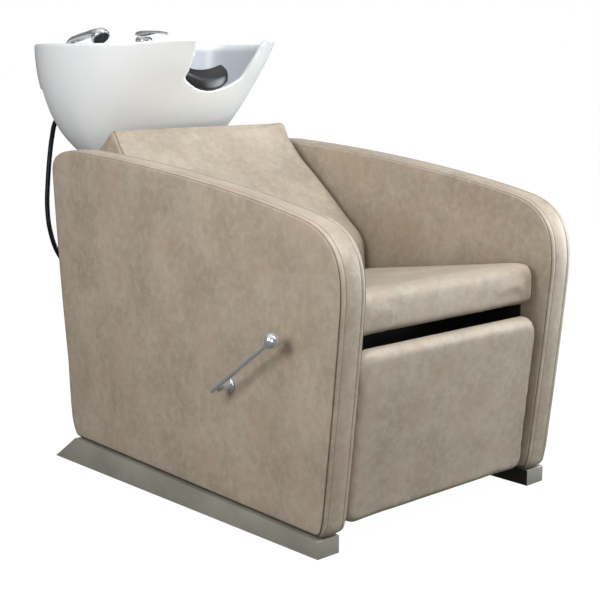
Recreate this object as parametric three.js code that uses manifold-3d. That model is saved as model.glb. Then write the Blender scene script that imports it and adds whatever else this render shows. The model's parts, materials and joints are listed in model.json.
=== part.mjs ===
// Salon shampoo backwash unit: an upholstered chair whose leg rest is raised by a side lever,
// carrying a tilting ceramic basin with a single-lever mixer and a docked hand shower.
// Millimetres, +Z up, the sitter faces -Y and the sitter's right hand is at -X.
// The origin is on the floor, in the middle of the unit's bounding box.

import * as THREE from 'three';
import { mergeVertices } from 'three/addons/utils/BufferGeometryUtils.js';
import Module from 'manifold-3d';

const wasm = await Module();
wasm.setup();

// ---------------------------------------------------------------- driving dimensions

const GAP = 0.3; // clearance left between pieces that touch
const RUNNING_GAP = 0.6; // clearance on the diameter of a turning pin

// Side panels: their outer faces set the width of the chair.
const PANEL_OUT = 330;
const PANEL_IN = 265;
const PANEL_EDGE = 7; // rounding of the panel's edges

// Base rails under the panels.
const RAIL_OUT = 332;
const RAIL_IN = 278;
const RAIL_FRONT_HEIGHT = 34;
const RAIL_REAR_HEIGHT = 57;
const RAIL_REAR_Y = 864; // tip of the sloping rear end, on the floor
const RAIL_SHOULDER_Y = 784; // top of the sloping rear end
const RAIL_WALL = 3;
const RAIL_BOLT_RADIUS = 6;
const RAIL_BOLT_INSET = 90; // bolt holes from each end of the rail
const CROSSBAR_Z = [4, 29];
const CROSSBAR_WALL = 3;
const FRONT_CROSSBAR_Y = [340, 390];
const REAR_CROSSBAR_SPREAD = 10; // the rear crossbar reaches this far past the columns

// Seat cushion: its top slopes down to the back.
const SEAT_HALF = 262;
const SEAT_FRONT_Y = -20;
const SEAT_REAR_Y = 450;
const SEAT_THICK = 85;
const SEAT_FRONT_Z = 400; // underside at the front
const SEAT_REAR_Z = 335; // underside at the rear
const DECK_THICK = 12;
const DECK_ENDS_Y = [118, 468];
const BATTEN_WIDTH = 22;
const SEAT_BATTEN_DROP = 28;
const BACK_BATTEN_DROP = 36;
const APRON_THICK = 13;
const APRON_FOOT_Z = 296;
const INNER_HALF = 261; // inner faces of the two steel frame plates

// Leg rest, hinged near its top edge.
const LEG_HALF = 259.5;
const LEG_TOP_Z = 380;
const LEG_BOTTOM_Z = 44;
const LEG_TOP_Y = -33;
const LEG_BOTTOM_Y = 2;
const LEG_PAD = 31;
const LEG_ROLL = 16; // how far the pad's top front edge is cut back, to clear the seat as it swings
const LEG_FOOT_ROLL = 5; // the same for its bottom front edge
const LEG_BOARD = 8;
const LEG_BOARD_SHORT = { head: 12, foot: 10 }; // the board stops this far short of the pad
const LEG_PIVOT = { y: 26, z: 303 };
const LEG_ROD_RADIUS = 5;
const BOARD_HALF = 250;
const FLANGE_Z = [240, 350]; // the hinge bracket's flange on the back of the board
const FLANGE_THICK = 6;
const EAR_Z = [280, 330]; // how much of the hinge knuckle the board's back cuts away
const KNUCKLE_RADIUS = 10;

// Side lever, and the crank and link that join it to the leg rest.
const LEVER = { y: 243, z: 280 };
const LEVER_SHAFT_RADIUS = 6;
const LEVER_ROD_X = -366;
const LEVER_ROD_RADIUS = 4.6;
const LEVER_TAPER = 0.8; // how much thinner the rod is at the knob
const LEVER_TAIL = 18; // length of rod below the shaft axis
const LEVER_HUB_RADIUS = 8.5;
const LEVER_BUSH_RADIUS = 10;
const LEVER_LENGTH = 197; // shaft axis to the middle of the knob
const LEVER_RISE = THREE.MathUtils.degToRad(36); // above level, towards the front
const KNOB_RADIUS = 15;
const CRANK = { y: 28.7, z: -41 }; // pivot to crank pin, the same on lever and leg rest
const PIN_RADIUS = 4;
const PIN_BOSS_RADIUS = 8;
const CRANK_HUB_RADIUS = 12;
const LINK_EYE_RADIUS = 9;
const LINK_HALF_WIDTH = 6;
const FREE_END_PLAY = 1; // radial play where the link takes hold of the leg rest
const CRANK_X = [-259.6, -255.6];
const LINK_X = [-254.6, -250.6];
const BRACKET_X = [-249.6, -245.6];

// Back cushion, reclined, with a sloping rear top.
const BACK_HALF = 254;
const BACK_RIDGE = { y: 731, z: 741 };
const BACK_SLAB_FOOT = { y: 520, z: 417 }; // rear face of the cushion, lower end
const BACK_SLAB_HEAD = { y: 757, z: 640 }; // rear face of the cushion, upper end
const BACK_BOARD = 12;
const BACK_BOARD_SHORT = 8; // the board stops this far below the cushion's head

// Basin: a superellipse in plan, drawn in towards a flat foot.
const RIM_Z = 922;
const BASIN_Y = 930; // where the basin is widest
const BASIN_HALF = 250;
const BASIN_REAR = 275;
const BASIN_FRONT = 335;
const BASIN_DEPTH = 310; // of the whole curve, cut short by the foot
const BASIN_FOOT_Z = 632;
const BASIN_FRONT_SLOPE = 320 / 310; // the prow is straight, and slopes by this much
const BASIN_POWER = 2.2; // of the superellipse, a little squarer than an ellipse
const BOWL_Y = 925;
const BOWL_HALF = 236;
const BOWL_REAR = 120;
const BOWL_FRONT = 313;
const BOWL_DEPTH = 268;
const DECK_Z = 905; // tap ledge
const DECK_UNDER_Z = 885;
const DECK_Y = 1056; // front edge of the tap ledge
const RIM_WALL = 18;
const NECK_HALF_TOP = 106;
const NECK_HALF_LOW = 80;
const NECK_LOW_Z = 846;
const NECK_FLOOR_Z = 818;
const NECK_FLARE = { x: 82, z: 884 }; // the dip's sides open out above this point
const NECK_REST_HALF = 62;
const NECK_REST_Y = [700, 742];
const NECK_REST_LIFT = 2; // of the pad's underside above the floor of the dip
const NECK_REST_THICK = 38;
const NECK_REST_RISE = 19; // of the pad's ends above its middle
const NECK_REST_EDGE = 4;

// Tilting mount of the basin.
const TILT = { y: 890, z: 595 };
const TILT_PIN_RADIUS = 6;
const TILT_PIN_HALF = 75;
const PIN_HEAD_RADIUS = 10;
const PIN_HEAD_THICK = 7;
const CARRIER_HALF = 80;
const CARRIER_Y = [880, 1000];
const CARRIER_EAR_X = [50, 56];
const CARRIER_EAR_RADIUS = 13;
const BRACKET_THICK = 8;
const BRACKET_REAR_Y = 790;
const BRACKET_EAR_HALF = 3;
const BRACKET_EAR_RADIUS = 16;
const CARRIER_THICK = 6;
const CARRIER_TOP_Z = BASIN_FOOT_Z - GAP;
const COLUMN_HALF_X = [110, 150];
const COLUMN_Y = [738, 768];
const COLUMN_TOP_Z = 575;
const COLUMN_WALL = 3;

// Taps and waste.
const MIXER = { x: 100, y: 1085 };
const DOCK = { x: -115, y: 1090 };
const WASTE_Y = 930;
const WASTE_RADIUS = 16;
const HOSE_RADIUS = 6;
const TAIL_BOTTOM_Z = 800;
const WASTE_SEAT_Z = 656; // where the waste's flange sits in the basin's foot
const WASTE_SEAT_RADIUS = 33;
const WASTE_HOLE_RADIUS = 22;
const WASTE_TUBE_RADIUS = 21;
const MIXER_TUBE_RADIUS = 15;
const MIXER_HOLE_RADIUS = 17;
const MIXER_HALF_WIDTH = 13;
const INLET_SPACING = 8; // of each inlet from the mixer's middle
const DOCK_TUBE_RADIUS = 13;
const DOCK_HOLE_RADIUS = 13.5;
const HOSE_NUT_Y = 1102;
const GRIP_RADIUS = 10;
const HEAD_REACH = 122; // of the spray head forward of the dock
const HEAD_Z = 938;
const HEAD_TILT = THREE.MathUtils.degToRad(-42);

// ---------------------------------------------------------------- finishes

function finish(color, roughness, metalness = 0) {
  return { color, roughness, metalness };
}

const LEATHER = finish(0x9c8f80, 0.5);
const STEEL = finish(0xa9a69c, 0.35, 1);
const CHROME = finish(0xdadcdc, 0.08, 1);
const CERAMIC = finish(0xeceff1, 0.12);
const RUBBER = finish(0x151515, 0.35);
const BLACK_PAINT = finish(0x17120d, 0.6);
const WOOD = finish(0xb58f62, 0.7);
const PLASTIC = finish(0x2a2a2a, 0.5);
const BRASS = finish(0xb8924a, 0.3, 1);

// ---------------------------------------------------------------- solids

const unit = new THREE.Group();

function place(name, geometry, look) {
  const mesh = new THREE.Mesh(geometry, new THREE.MeshStandardMaterial(look));
  mesh.name = name;
  unit.add(mesh);
  return mesh;
}

function toSolid(geometry) {
  const bare = geometry.clone();
  bare.deleteAttribute('normal');
  bare.deleteAttribute('uv');
  const merged = mergeVertices(bare, 1e-3);
  const triangles = [];
  for (let i = 0; i < merged.index.count; i += 3) {
    const [a, b, c] = [0, 1, 2].map((k) => merged.index.getX(i + k));
    if (a !== b && b !== c && c !== a) triangles.push(a, b, c);
  }
  const mesh = new wasm.Mesh({
    numProp: 3,
    vertProperties: new Float32Array(merged.attributes.position.array),
    triVerts: new Uint32Array(triangles),
  });
  return new wasm.Manifold(mesh);
}

function toGeometry(solid) {
  const { vertProperties, triVerts } = solid.getMesh();
  const geometry = new THREE.BufferGeometry();
  geometry.setAttribute('position', new THREE.BufferAttribute(vertProperties, 3));
  geometry.setIndex(new THREE.BufferAttribute(triVerts, 1));
  geometry.computeVertexNormals();
  return geometry;
}

function cut(body, ...tools) {
  return toGeometry(tools.reduce((solid, tool) => solid.subtract(toSolid(tool)), toSolid(body)));
}

function join(first, ...others) {
  return toGeometry(others.reduce((solid, other) => solid.add(toSolid(other)), toSolid(first)));
}

// A box between two corners.
function block(x0, x1, y0, y1, z0, z1) {
  const geometry = new THREE.BoxGeometry(x1 - x0, y1 - y0, z1 - z0);
  return geometry.translate((x0 + x1) / 2, (y0 + y1) / 2, (z0 + z1) / 2);
}

// A closed outline through the given points, as [u, v] pairs.
function outline(points) {
  return new THREE.Shape(points.map(([u, v]) => new THREE.Vector2(u, v)));
}

function circleHole(u, v, radius) {
  return new THREE.Path().absarc(u, v, radius, 0, Math.PI * 2, false);
}

// Extrudes a (y, z) shape from x0 to x1, with an optional rounded edge inside the outline.
function alongX(shape, x0, x1, edge = 0) {
  const geometry = new THREE.ExtrudeGeometry(shape, {
    depth: x1 - x0 - 2 * edge,
    bevelEnabled: edge > 0,
    bevelThickness: edge,
    bevelSize: edge,
    bevelOffset: -edge,
    bevelSegments: 2,
    curveSegments: 8,
  });
  const turn = new THREE.Matrix4().makeBasis(
    new THREE.Vector3(0, 1, 0), new THREE.Vector3(0, 0, 1), new THREE.Vector3(1, 0, 0));
  return geometry.applyMatrix4(turn).translate(x0 + edge, 0, 0);
}

// Extrudes an (x, z) shape from y0 to y1.
function alongY(shape, y0, y1, edge = 0) {
  const geometry = new THREE.ExtrudeGeometry(shape, {
    depth: y1 - y0 - 2 * edge,
    bevelEnabled: edge > 0,
    bevelThickness: edge,
    bevelSize: edge,
    bevelOffset: -edge,
    bevelSegments: 2,
    curveSegments: 8,
  });
  return geometry.rotateX(Math.PI / 2).translate(0, y1 - edge, 0);
}

// Extrudes an (x, y) shape from z0 to z1.
function alongZ(shape, z0, z1) {
  const options = { depth: z1 - z0, bevelEnabled: false, curveSegments: 16 };
  return new THREE.ExtrudeGeometry(shape, options).translate(0, 0, z0);
}

// Revolves [radius, height] pairs about the vertical through (x, y). The profile runs upwards
// on its outer side, and starts and ends on the axis or closes on itself.
function turned(profile, x, y, sides = 28) {
  const points = profile.map(([r, z]) => new THREE.Vector2(r, z));
  return new THREE.LatheGeometry(points, sides).rotateX(Math.PI / 2).translate(x, y, 0);
}

function ringProfile(inner, outer, z0, z1) {
  return [[inner, z0], [outer, z0], [outer, z1], [inner, z1], [inner, z0]];
}

function rodProfile(radius, z0, z1) {
  return [[0, z0], [radius, z0], [radius, z1], [0, z1]];
}

// A round cutter for an upright hole.
function hole(radius, x, y, z0, z1) {
  return turned(rodProfile(radius, z0, z1), x, y);
}

// A nut with flats outside and a round bore.
function nut(bore, across, x, y, z0, z1, flats = 6) {
  return cut(turned(rodProfile(across, z0, z1), x, y, flats), hole(bore, x, y, z0 - 1, z1 + 1));
}

// A round bar along X.
function barX(radius, x0, x1, y, z, sides = 24) {
  const geometry = new THREE.CylinderGeometry(radius, radius, x1 - x0, sides);
  return geometry.rotateZ(Math.PI / 2).translate((x0 + x1) / 2, y, z);
}

// A round tube or bar along a curve.
function swept(curve, radius, sides, steps) {
  const section = new THREE.Shape();
  for (let i = 0; i < sides; i += 1) {
    const angle = (i / sides) * Math.PI * 2;
    const point = [Math.cos(angle) * radius, Math.sin(angle) * radius];
    if (i === 0) section.moveTo(...point);
    else section.lineTo(...point);
  }
  return new THREE.ExtrudeGeometry(section, { extrudePath: curve, steps, bevelEnabled: false });
}

// A closed skin over rings of equally many points, its two ends closed with fans.
function lofted(rings) {
  const count = rings[0].length;
  const positions = [];
  const index = [];
  for (const ring of rings) for (const point of ring) positions.push(...point);
  for (let r = 0; r + 1 < rings.length; r += 1) {
    for (let i = 0; i < count; i += 1) {
      const a = r * count + i;
      const b = r * count + ((i + 1) % count);
      index.push(a, b, b + count, a, b + count, a + count);
    }
  }
  const ends = [[rings[0], 0, false], [rings.at(-1), (rings.length - 1) * count, true]];
  for (const [ring, start, up] of ends) {
    const centre = positions.length / 3;
    const mean = (axis) => ring.reduce((sum, point) => sum + point[axis], 0) / count;
    positions.push(mean(0), mean(1), mean(2));
    for (let i = 0; i < count; i += 1) {
      const a = start + i;
      const b = start + ((i + 1) % count);
      index.push(...(up ? [a, b, centre] : [b, a, centre]));
    }
  }
  const geometry = new THREE.BufferGeometry();
  geometry.setAttribute('position', new THREE.Float32BufferAttribute(positions, 3));
  geometry.setIndex(index);
  return geometry;
}

function lerp(from, to, part) {
  return from + (to - from) * part;
}

// ---------------------------------------------------------------- base

function railTopZ(y) {
  return lerp(RAIL_FRONT_HEIGHT, RAIL_REAR_HEIGHT, y / RAIL_SHOULDER_Y);
}

// A hollow wedge of folded sheet, open at its floor bolt holes.
function baseRail(side) {
  const [x0, x1] = side < 0 ? [-RAIL_OUT, -RAIL_IN] : [RAIL_IN, RAIL_OUT];
  const skin = [[0, 0], [RAIL_REAR_Y, 0], [RAIL_SHOULDER_Y, RAIL_REAR_HEIGHT], [0, RAIL_FRONT_HEIGHT]];
  const w = RAIL_WALL;
  const hollow = [
    [w, w], [RAIL_REAR_Y - 4 * w, w],
    [RAIL_SHOULDER_Y - w, RAIL_REAR_HEIGHT - w], [w, RAIL_FRONT_HEIGHT - w],
  ];
  const middle = (x0 + x1) / 2;
  const holes = [RAIL_BOLT_INSET, RAIL_SHOULDER_Y - RAIL_BOLT_INSET].map((y) => (
    new THREE.CylinderGeometry(RAIL_BOLT_RADIUS, RAIL_BOLT_RADIUS, 4 * w, 20)
      .rotateX(Math.PI / 2).translate(middle, y, 0)));
  return cut(alongX(outline(skin), x0, x1), alongX(outline(hollow), x0 + w, x1 - w), ...holes);
}

// A flat tube between the rails.
function crossbar(y0, y1) {
  const reach = RAIL_IN - GAP;
  const [z0, z1] = CROSSBAR_Z;
  const w = CROSSBAR_WALL;
  const tube = block(-reach, reach, y0, y1, z0, z1);
  return cut(tube, block(-reach - 1, reach + 1, y0 + w, y1 - w, z0 + w, z1 - w));
}

function buildBase() {
  place('base_rail_left', baseRail(-1), STEEL);
  place('base_rail_right', baseRail(1), STEEL);
  place('front_crossbar', crossbar(...FRONT_CROSSBAR_Y), BLACK_PAINT);
  const [front, rear] = COLUMN_Y;
  place('rear_crossbar', crossbar(front - REAR_CROSSBAR_SPREAD, rear + REAR_CROSSBAR_SPREAD), BLACK_PAINT);
}

// ---------------------------------------------------------------- side panels and frame

// Side view of an arm panel: leaning front edge, large front radius, top rising to the rear.
function panelShape() {
  const shape = new THREE.Shape();
  const lift = 3; // shadow gap above the rail
  shape.moveTo(4, railTopZ(4) + lift);
  shape.quadraticCurveTo(-5, railTopZ(0) + lift, -8, 52);
  shape.quadraticCurveTo(-34, 262, -49, 420);
  shape.bezierCurveTo(-57, 500, -66, 580, 31, 611);
  shape.bezierCurveTo(150, 640, 420, 680, 742, 695);
  shape.bezierCurveTo(800, 697, 851, 690, 846, 645);
  shape.quadraticCurveTo(832, 420, 807, 230);
  shape.bezierCurveTo(803, 130, 800, 80, 782, railTopZ(782) + lift);
  shape.closePath();
  return shape;
}

// Steel plate on the inner face of each arm panel, carrying the seat, leg rest and lever shaft.
function framePlate(side) {
  const shape = outline([
    [12, 270], [12, 335], [20, 345], [20, 391], [470, 328], [470, 250], [300, 220], [200, 220], [60, 262],
  ]);
  shape.holes.push(circleHole(LEG_PIVOT.y, LEG_PIVOT.z, LEG_ROD_RADIUS + RUNNING_GAP / 2));
  shape.holes.push(circleHole(LEVER.y, LEVER.z, LEVER_SHAFT_RADIUS + RUNNING_GAP / 2));
  const outer = PANEL_IN - GAP;
  return side < 0 ? alongX(shape, -outer, -INNER_HALF) : alongX(shape, INNER_HALF, outer);
}

// A straight batten on the inner side of a panel, along a line in side view.
function batten(side, from, to, drop) {
  const shape = outline([from, to, [to[0], to[1] - drop], [from[0], from[1] - drop]]);
  const inner = INNER_HALF - GAP;
  const [x0, x1] = side < 0 ? [-inner, -inner + BATTEN_WIDTH] : [inner - BATTEN_WIDTH, inner];
  return alongX(shape, x0, x1);
}

function seatUnderZ(y) {
  return lerp(SEAT_FRONT_Z, SEAT_REAR_Z, (y - SEAT_FRONT_Y) / (SEAT_REAR_Y - SEAT_FRONT_Y));
}

function buildSides() {
  const boreForBush = barX(LEVER_BUSH_RADIUS + GAP, -PANEL_OUT - 1, -PANEL_IN + 1, LEVER.y, LEVER.z);
  const left = alongX(panelShape(), -PANEL_OUT, -PANEL_IN, PANEL_EDGE);
  place('side_panel_left', cut(left, boreForBush), LEATHER);
  place('side_panel_right', alongX(panelShape(), PANEL_IN, PANEL_OUT, PANEL_EDGE), LEATHER);
  place('frame_plate_left', framePlate(-1), BLACK_PAINT);
  place('frame_plate_right', framePlate(1), BLACK_PAINT);

  const bore = LEVER_SHAFT_RADIUS + RUNNING_GAP / 2;
  const bush = turned(ringProfile(bore, LEVER_BUSH_RADIUS, 0, PANEL_OUT - PANEL_IN - 2), 0, 0);
  bush.rotateY(Math.PI / 2).translate(-PANEL_OUT + 1, LEVER.y, LEVER.z);
  place('lever_bush', bush, PLASTIC);
}

// ---------------------------------------------------------------- seat and back

function seatCushion() {
  const shape = outline([
    [SEAT_FRONT_Y, SEAT_FRONT_Z], [SEAT_REAR_Y, SEAT_REAR_Z],
    [SEAT_REAR_Y, SEAT_REAR_Z + SEAT_THICK], [SEAT_FRONT_Y, SEAT_FRONT_Z + SEAT_THICK],
  ]);
  return alongX(shape, -SEAT_HALF, SEAT_HALF, 8);
}

function seatDeck() {
  const [front, rear] = DECK_ENDS_Y;
  const top = (y) => seatUnderZ(y) - GAP;
  return alongX(outline([
    [front, top(front) - DECK_THICK], [rear, top(rear) - DECK_THICK],
    [rear, top(rear)], [front, top(front)],
  ]), -INNER_HALF + GAP, INNER_HALF - GAP);
}

function backCushion() {
  const shape = new THREE.Shape();
  shape.moveTo(SEAT_REAR_Y + 1, 352);
  shape.lineTo(480, 352);
  shape.lineTo(BACK_SLAB_FOOT.y, BACK_SLAB_FOOT.z);
  shape.lineTo(BACK_SLAB_HEAD.y, BACK_SLAB_HEAD.z);
  shape.lineTo(838, 640);
  shape.lineTo(838, 660);
  shape.lineTo(BACK_RIDGE.y, BACK_RIDGE.z);
  shape.lineTo(700, 700);
  shape.lineTo(660, 657);
  shape.quadraticCurveTo(592, 608, 528, 552);
  shape.quadraticCurveTo(470, 500, 456, 470);
  shape.lineTo(SEAT_REAR_Y + 1, 421);
  shape.closePath();
  return alongX(shape, -BACK_HALF, BACK_HALF, 5);
}

function backBoard() {
  const dy = BACK_SLAB_HEAD.y - BACK_SLAB_FOOT.y;
  const dz = BACK_SLAB_HEAD.z - BACK_SLAB_FOOT.z;
  const length = Math.hypot(dy, dz);
  const along = (s, off) => [
    BACK_SLAB_FOOT.y + (dy * s + dz * off) / length,
    BACK_SLAB_FOOT.z + (dz * s - dy * off) / length,
  ];
  const top = length - BACK_BOARD_SHORT;
  const far = GAP + BACK_BOARD;
  const corners = [along(0, GAP), along(0, far), along(top, far), along(top, GAP)];
  const board = alongX(outline(corners), -BACK_HALF + 2, BACK_HALF - 2);
  const under = (s) => along(s, 2 * GAP + BACK_BOARD);
  return { board, battenFrom: under(0), battenTo: under(top - 30) };
}

function buildSeatAndBack() {
  place('seat_cushion', seatCushion(), LEATHER);
  place('seat_deck', seatDeck(), WOOD);
  place('back_cushion', backCushion(), LEATHER);
  const { board, battenFrom, battenTo } = backBoard();
  place('back_board', board, WOOD);
  const underDeck = (y) => [y, seatUnderZ(y) - DECK_THICK - 2 * GAP];
  const [deckFront, deckRear] = DECK_ENDS_Y;
  const apronRear = deckFront + APRON_THICK;
  for (const [side, word] of [[-1, 'left'], [1, 'right']]) {
    const seatBatten = batten(side, underDeck(apronRear + 1), underDeck(deckRear - 2), SEAT_BATTEN_DROP);
    place(`seat_batten_${word}`, seatBatten, WOOD);
    place(`back_batten_${word}`, batten(side, battenFrom, battenTo, BACK_BATTEN_DROP), WOOD);
  }
  const apron = [
    [deckFront, APRON_FOOT_Z], [apronRear, APRON_FOOT_Z], underDeck(apronRear), underDeck(deckFront),
  ];
  place('seat_apron', alongX(outline(apron), -INNER_HALF + GAP, INNER_HALF - GAP), BLACK_PAINT);
}

// ---------------------------------------------------------------- leg rest

// A point of the leg rest: height z, and depth behind its leaning front face.
function legPoint(z, depth) {
  const part = (LEG_TOP_Z - z) / (LEG_TOP_Z - LEG_BOTTOM_Z);
  return [lerp(LEG_TOP_Y, LEG_BOTTOM_Y, part) + depth, z];
}

function legSlab(top, bottom, near, far) {
  return outline([legPoint(bottom, near), legPoint(bottom, far), legPoint(top, far), legPoint(top, near)]);
}

function legPad() {
  const shape = outline([
    legPoint(LEG_BOTTOM_Z + LEG_FOOT_ROLL, 0), legPoint(LEG_BOTTOM_Z, LEG_FOOT_ROLL),
    legPoint(LEG_BOTTOM_Z, LEG_PAD),
    legPoint(LEG_TOP_Z, LEG_PAD), legPoint(LEG_TOP_Z, LEG_ROLL), legPoint(LEG_TOP_Z - LEG_ROLL, 0),
  ]);
  return alongX(shape, -LEG_HALF, LEG_HALF, 6);
}

// Hinge bracket on the back of the board; the left one also has the arm that the link pushes.
function legBracket(withArm) {
  const back = LEG_PAD + LEG_BOARD + 2 * GAP;
  const flange = legSlab(FLANGE_Z[1], FLANGE_Z[0], back, back + FLANGE_THICK);
  const knuckle = new THREE.Shape().absarc(LEG_PIVOT.y, LEG_PIVOT.z, KNUCKLE_RADIUS, 0, Math.PI * 2, false);
  const ear = cut(alongX(knuckle, ...BRACKET_X),
    alongX(legSlab(EAR_Z[1], EAR_Z[0], 0, back), BRACKET_X[0] - 1, BRACKET_X[1] + 1));
  let body = join(alongX(flange, ...BRACKET_X), ear);
  if (withArm) {
    const pin = { y: LEG_PIVOT.y + CRANK.y, z: LEG_PIVOT.z + CRANK.z };
    const arm = outline([
      [LEG_PIVOT.y + 7, LEG_PIVOT.z - 3], [pin.y + 7, pin.z + 4],
      [pin.y - 7, pin.z - 4], [LEG_PIVOT.y - 3, LEG_PIVOT.z - 8],
    ]);
    const boss = new THREE.Shape().absarc(pin.y, pin.z, PIN_BOSS_RADIUS, 0, Math.PI * 2, false);
    body = join(body, alongX(arm, ...BRACKET_X), alongX(boss, ...BRACKET_X),
      barX(PIN_RADIUS, LINK_X[0] - 0.4, BRACKET_X[0] + 1, pin.y, pin.z));
  }
  const boreRadius = LEG_ROD_RADIUS + RUNNING_GAP / 2;
  const [x0, x1] = BRACKET_X;
  return cut(body, barX(boreRadius, x0 - 1, x1 + 1, LEG_PIVOT.y, LEG_PIVOT.z));
}

function buildLegRest() {
  place('legrest_cushion', legPad(), LEATHER);
  const { head, foot } = LEG_BOARD_SHORT;
  const near = LEG_PAD + GAP;
  const boardShape = legSlab(LEG_TOP_Z - head, LEG_BOTTOM_Z + foot, near, near + LEG_BOARD);
  place('legrest_board', alongX(boardShape, -BOARD_HALF, BOARD_HALF), BLACK_PAINT);
  place('legrest_bracket_left', legBracket(true), BLACK_PAINT);
  const right = place('legrest_bracket_right', legBracket(false), BLACK_PAINT);
  right.position.x = -(BRACKET_X[0] + BRACKET_X[1]);
  const reach = PANEL_IN - 2 * GAP;
  place('legrest_rod', barX(LEG_ROD_RADIUS, -reach, reach, LEG_PIVOT.y, LEG_PIVOT.z), STEEL);
}

// ---------------------------------------------------------------- lever and link

function buildLever() {
  const hubFace = LEVER_ROD_X + LEVER_ROD_RADIUS + GAP;
  place('lever_hub', barX(LEVER_HUB_RADIUS, hubFace, -PANEL_OUT - 1, LEVER.y, LEVER.z), CHROME);
  const shaft = barX(LEVER_SHAFT_RADIUS, -PANEL_OUT - 1 + GAP, CRANK_X[0] - GAP, LEVER.y, LEVER.z);
  place('lever_shaft', shaft, STEEL);

  const toKnob = new THREE.Vector3(0, -Math.cos(LEVER_RISE), Math.sin(LEVER_RISE));
  const rodLength = LEVER_LENGTH - KNOB_RADIUS + LEVER_TAIL + 2;
  const rod = new THREE.CylinderGeometry(LEVER_ROD_RADIUS - LEVER_TAPER, LEVER_ROD_RADIUS, rodLength, 20);
  rod.translate(0, rodLength / 2 - LEVER_TAIL, 0);
  const leverFrame = new THREE.Group();
  leverFrame.position.set(LEVER_ROD_X, LEVER.y, LEVER.z);
  leverFrame.quaternion.setFromUnitVectors(new THREE.Vector3(0, 1, 0), toKnob);
  const knob = new THREE.SphereGeometry(KNOB_RADIUS, 24, 14).translate(0, LEVER_LENGTH, 0);
  const socket = new THREE.CylinderGeometry(LEVER_ROD_RADIUS, LEVER_ROD_RADIUS, 20, 20);
  socket.translate(0, LEVER_LENGTH - KNOB_RADIUS - 7, 0);
  leverFrame.add(place('lever_rod', rod, CHROME));
  leverFrame.add(place('lever_knob', cut(knob, socket), CHROME));
  unit.add(leverFrame);

  const pin = { y: LEVER.y + CRANK.y, z: LEVER.z + CRANK.z };
  const half = Math.hypot(CRANK.y, CRANK.z);
  const beside = ({ y, z }, width) => [y - (CRANK.z * width) / half, z + (CRANK.y * width) / half];
  const web = outline([beside(LEVER, 11), beside(LEVER, -11), beside(pin, -7), beside(pin, 7)]);
  const crank = join(
    alongX(web, ...CRANK_X),
    barX(CRANK_HUB_RADIUS, ...CRANK_X, LEVER.y, LEVER.z),
    barX(PIN_BOSS_RADIUS, ...CRANK_X, pin.y, pin.z),
    barX(PIN_RADIUS, CRANK_X[1] - 1, LINK_X[1] - 0.4, pin.y, pin.z));
  place('lever_crank', crank, BLACK_PAINT);

  const far = { y: LEG_PIVOT.y + CRANK.y, z: LEG_PIVOT.z + CRANK.z };
  const w = LINK_HALF_WIDTH;
  const bar = outline([[pin.y, pin.z - w], [far.y, far.z - w], [far.y, far.z + w], [pin.y, pin.z + w]]);
  const eyes = [pin, far].map(({ y, z }) => barX(LINK_EYE_RADIUS, ...LINK_X, y, z));
  const bores = [[pin, RUNNING_GAP / 2], [far, FREE_END_PLAY]].map(([{ y, z }, play]) => (
    barX(PIN_RADIUS + play, LINK_X[0] - 1, LINK_X[1] + 1, y, z)));
  place('leg_link', cut(join(alongX(bar, ...LINK_X), ...eyes), ...bores), BLACK_PAINT);
}

// ---------------------------------------------------------------- rear frame

const COVER_FOOT = { y: 776, z: 72 };
const COVER_HEAD = { y: 824, z: 636 };
const COVER_THICK = 6;
const EAR_X = 61; // the bracket's ears, which pass through slots in the cover
const SLOT_HALF = 7;
const SLOT_FOOT_Z = 568;
const SCREW_HEIGHTS = [120, 540];
const SCREW_INSET = 20; // from the edge of the panel

function coverY(z) {
  return lerp(COVER_FOOT.y, COVER_HEAD.y, (z - COVER_FOOT.z) / (COVER_HEAD.z - COVER_FOOT.z));
}

function rearCover() {
  const shape = outline([
    [COVER_FOOT.y, COVER_FOOT.z], [COVER_FOOT.y + COVER_THICK, COVER_FOOT.z],
    [COVER_HEAD.y + COVER_THICK, COVER_HEAD.z], [COVER_HEAD.y, COVER_HEAD.z],
  ]);
  const half = PANEL_IN - 1;
  const past = 50; // how far each cutter reaches beyond the cover
  const slots = [-EAR_X, EAR_X].map((x) => block(
    x - SLOT_HALF, x + SLOT_HALF,
    COVER_FOOT.y - past, COVER_HEAD.y + past, SLOT_FOOT_Z, COVER_HEAD.z + past));
  return cut(alongX(shape, -half, half), ...slots);
}

// Bracket on the columns: a cross plate with two ears that reach back to the tilt axis.
function tiltBracket() {
  const plateTop = COLUMN_TOP_Z + GAP + BRACKET_THICK;
  const [, reach] = COLUMN_HALF_X;
  const plate = block(-reach, reach, COLUMN_Y[0], BRACKET_REAR_Y, COLUMN_TOP_Z + GAP, plateTop);
  const ear = () => {
    const shape = new THREE.Shape();
    shape.moveTo(BRACKET_REAR_Y - 30, plateTop - BRACKET_THICK + 0.5);
    shape.lineTo(TILT.y, TILT.z - BRACKET_EAR_RADIUS);
    shape.absarc(TILT.y, TILT.z, BRACKET_EAR_RADIUS, -Math.PI / 2, Math.PI / 2, false);
    shape.lineTo(BRACKET_REAR_Y - 5, TILT.z + 10);
    shape.closePath();
    shape.holes.push(circleHole(TILT.y, TILT.z, TILT_PIN_RADIUS + RUNNING_GAP / 2));
    return shape;
  };
  const ears = [-EAR_X, EAR_X].map((x) => alongX(ear(), x - BRACKET_EAR_HALF, x + BRACKET_EAR_HALF));
  return join(plate, ...ears);
}

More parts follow.
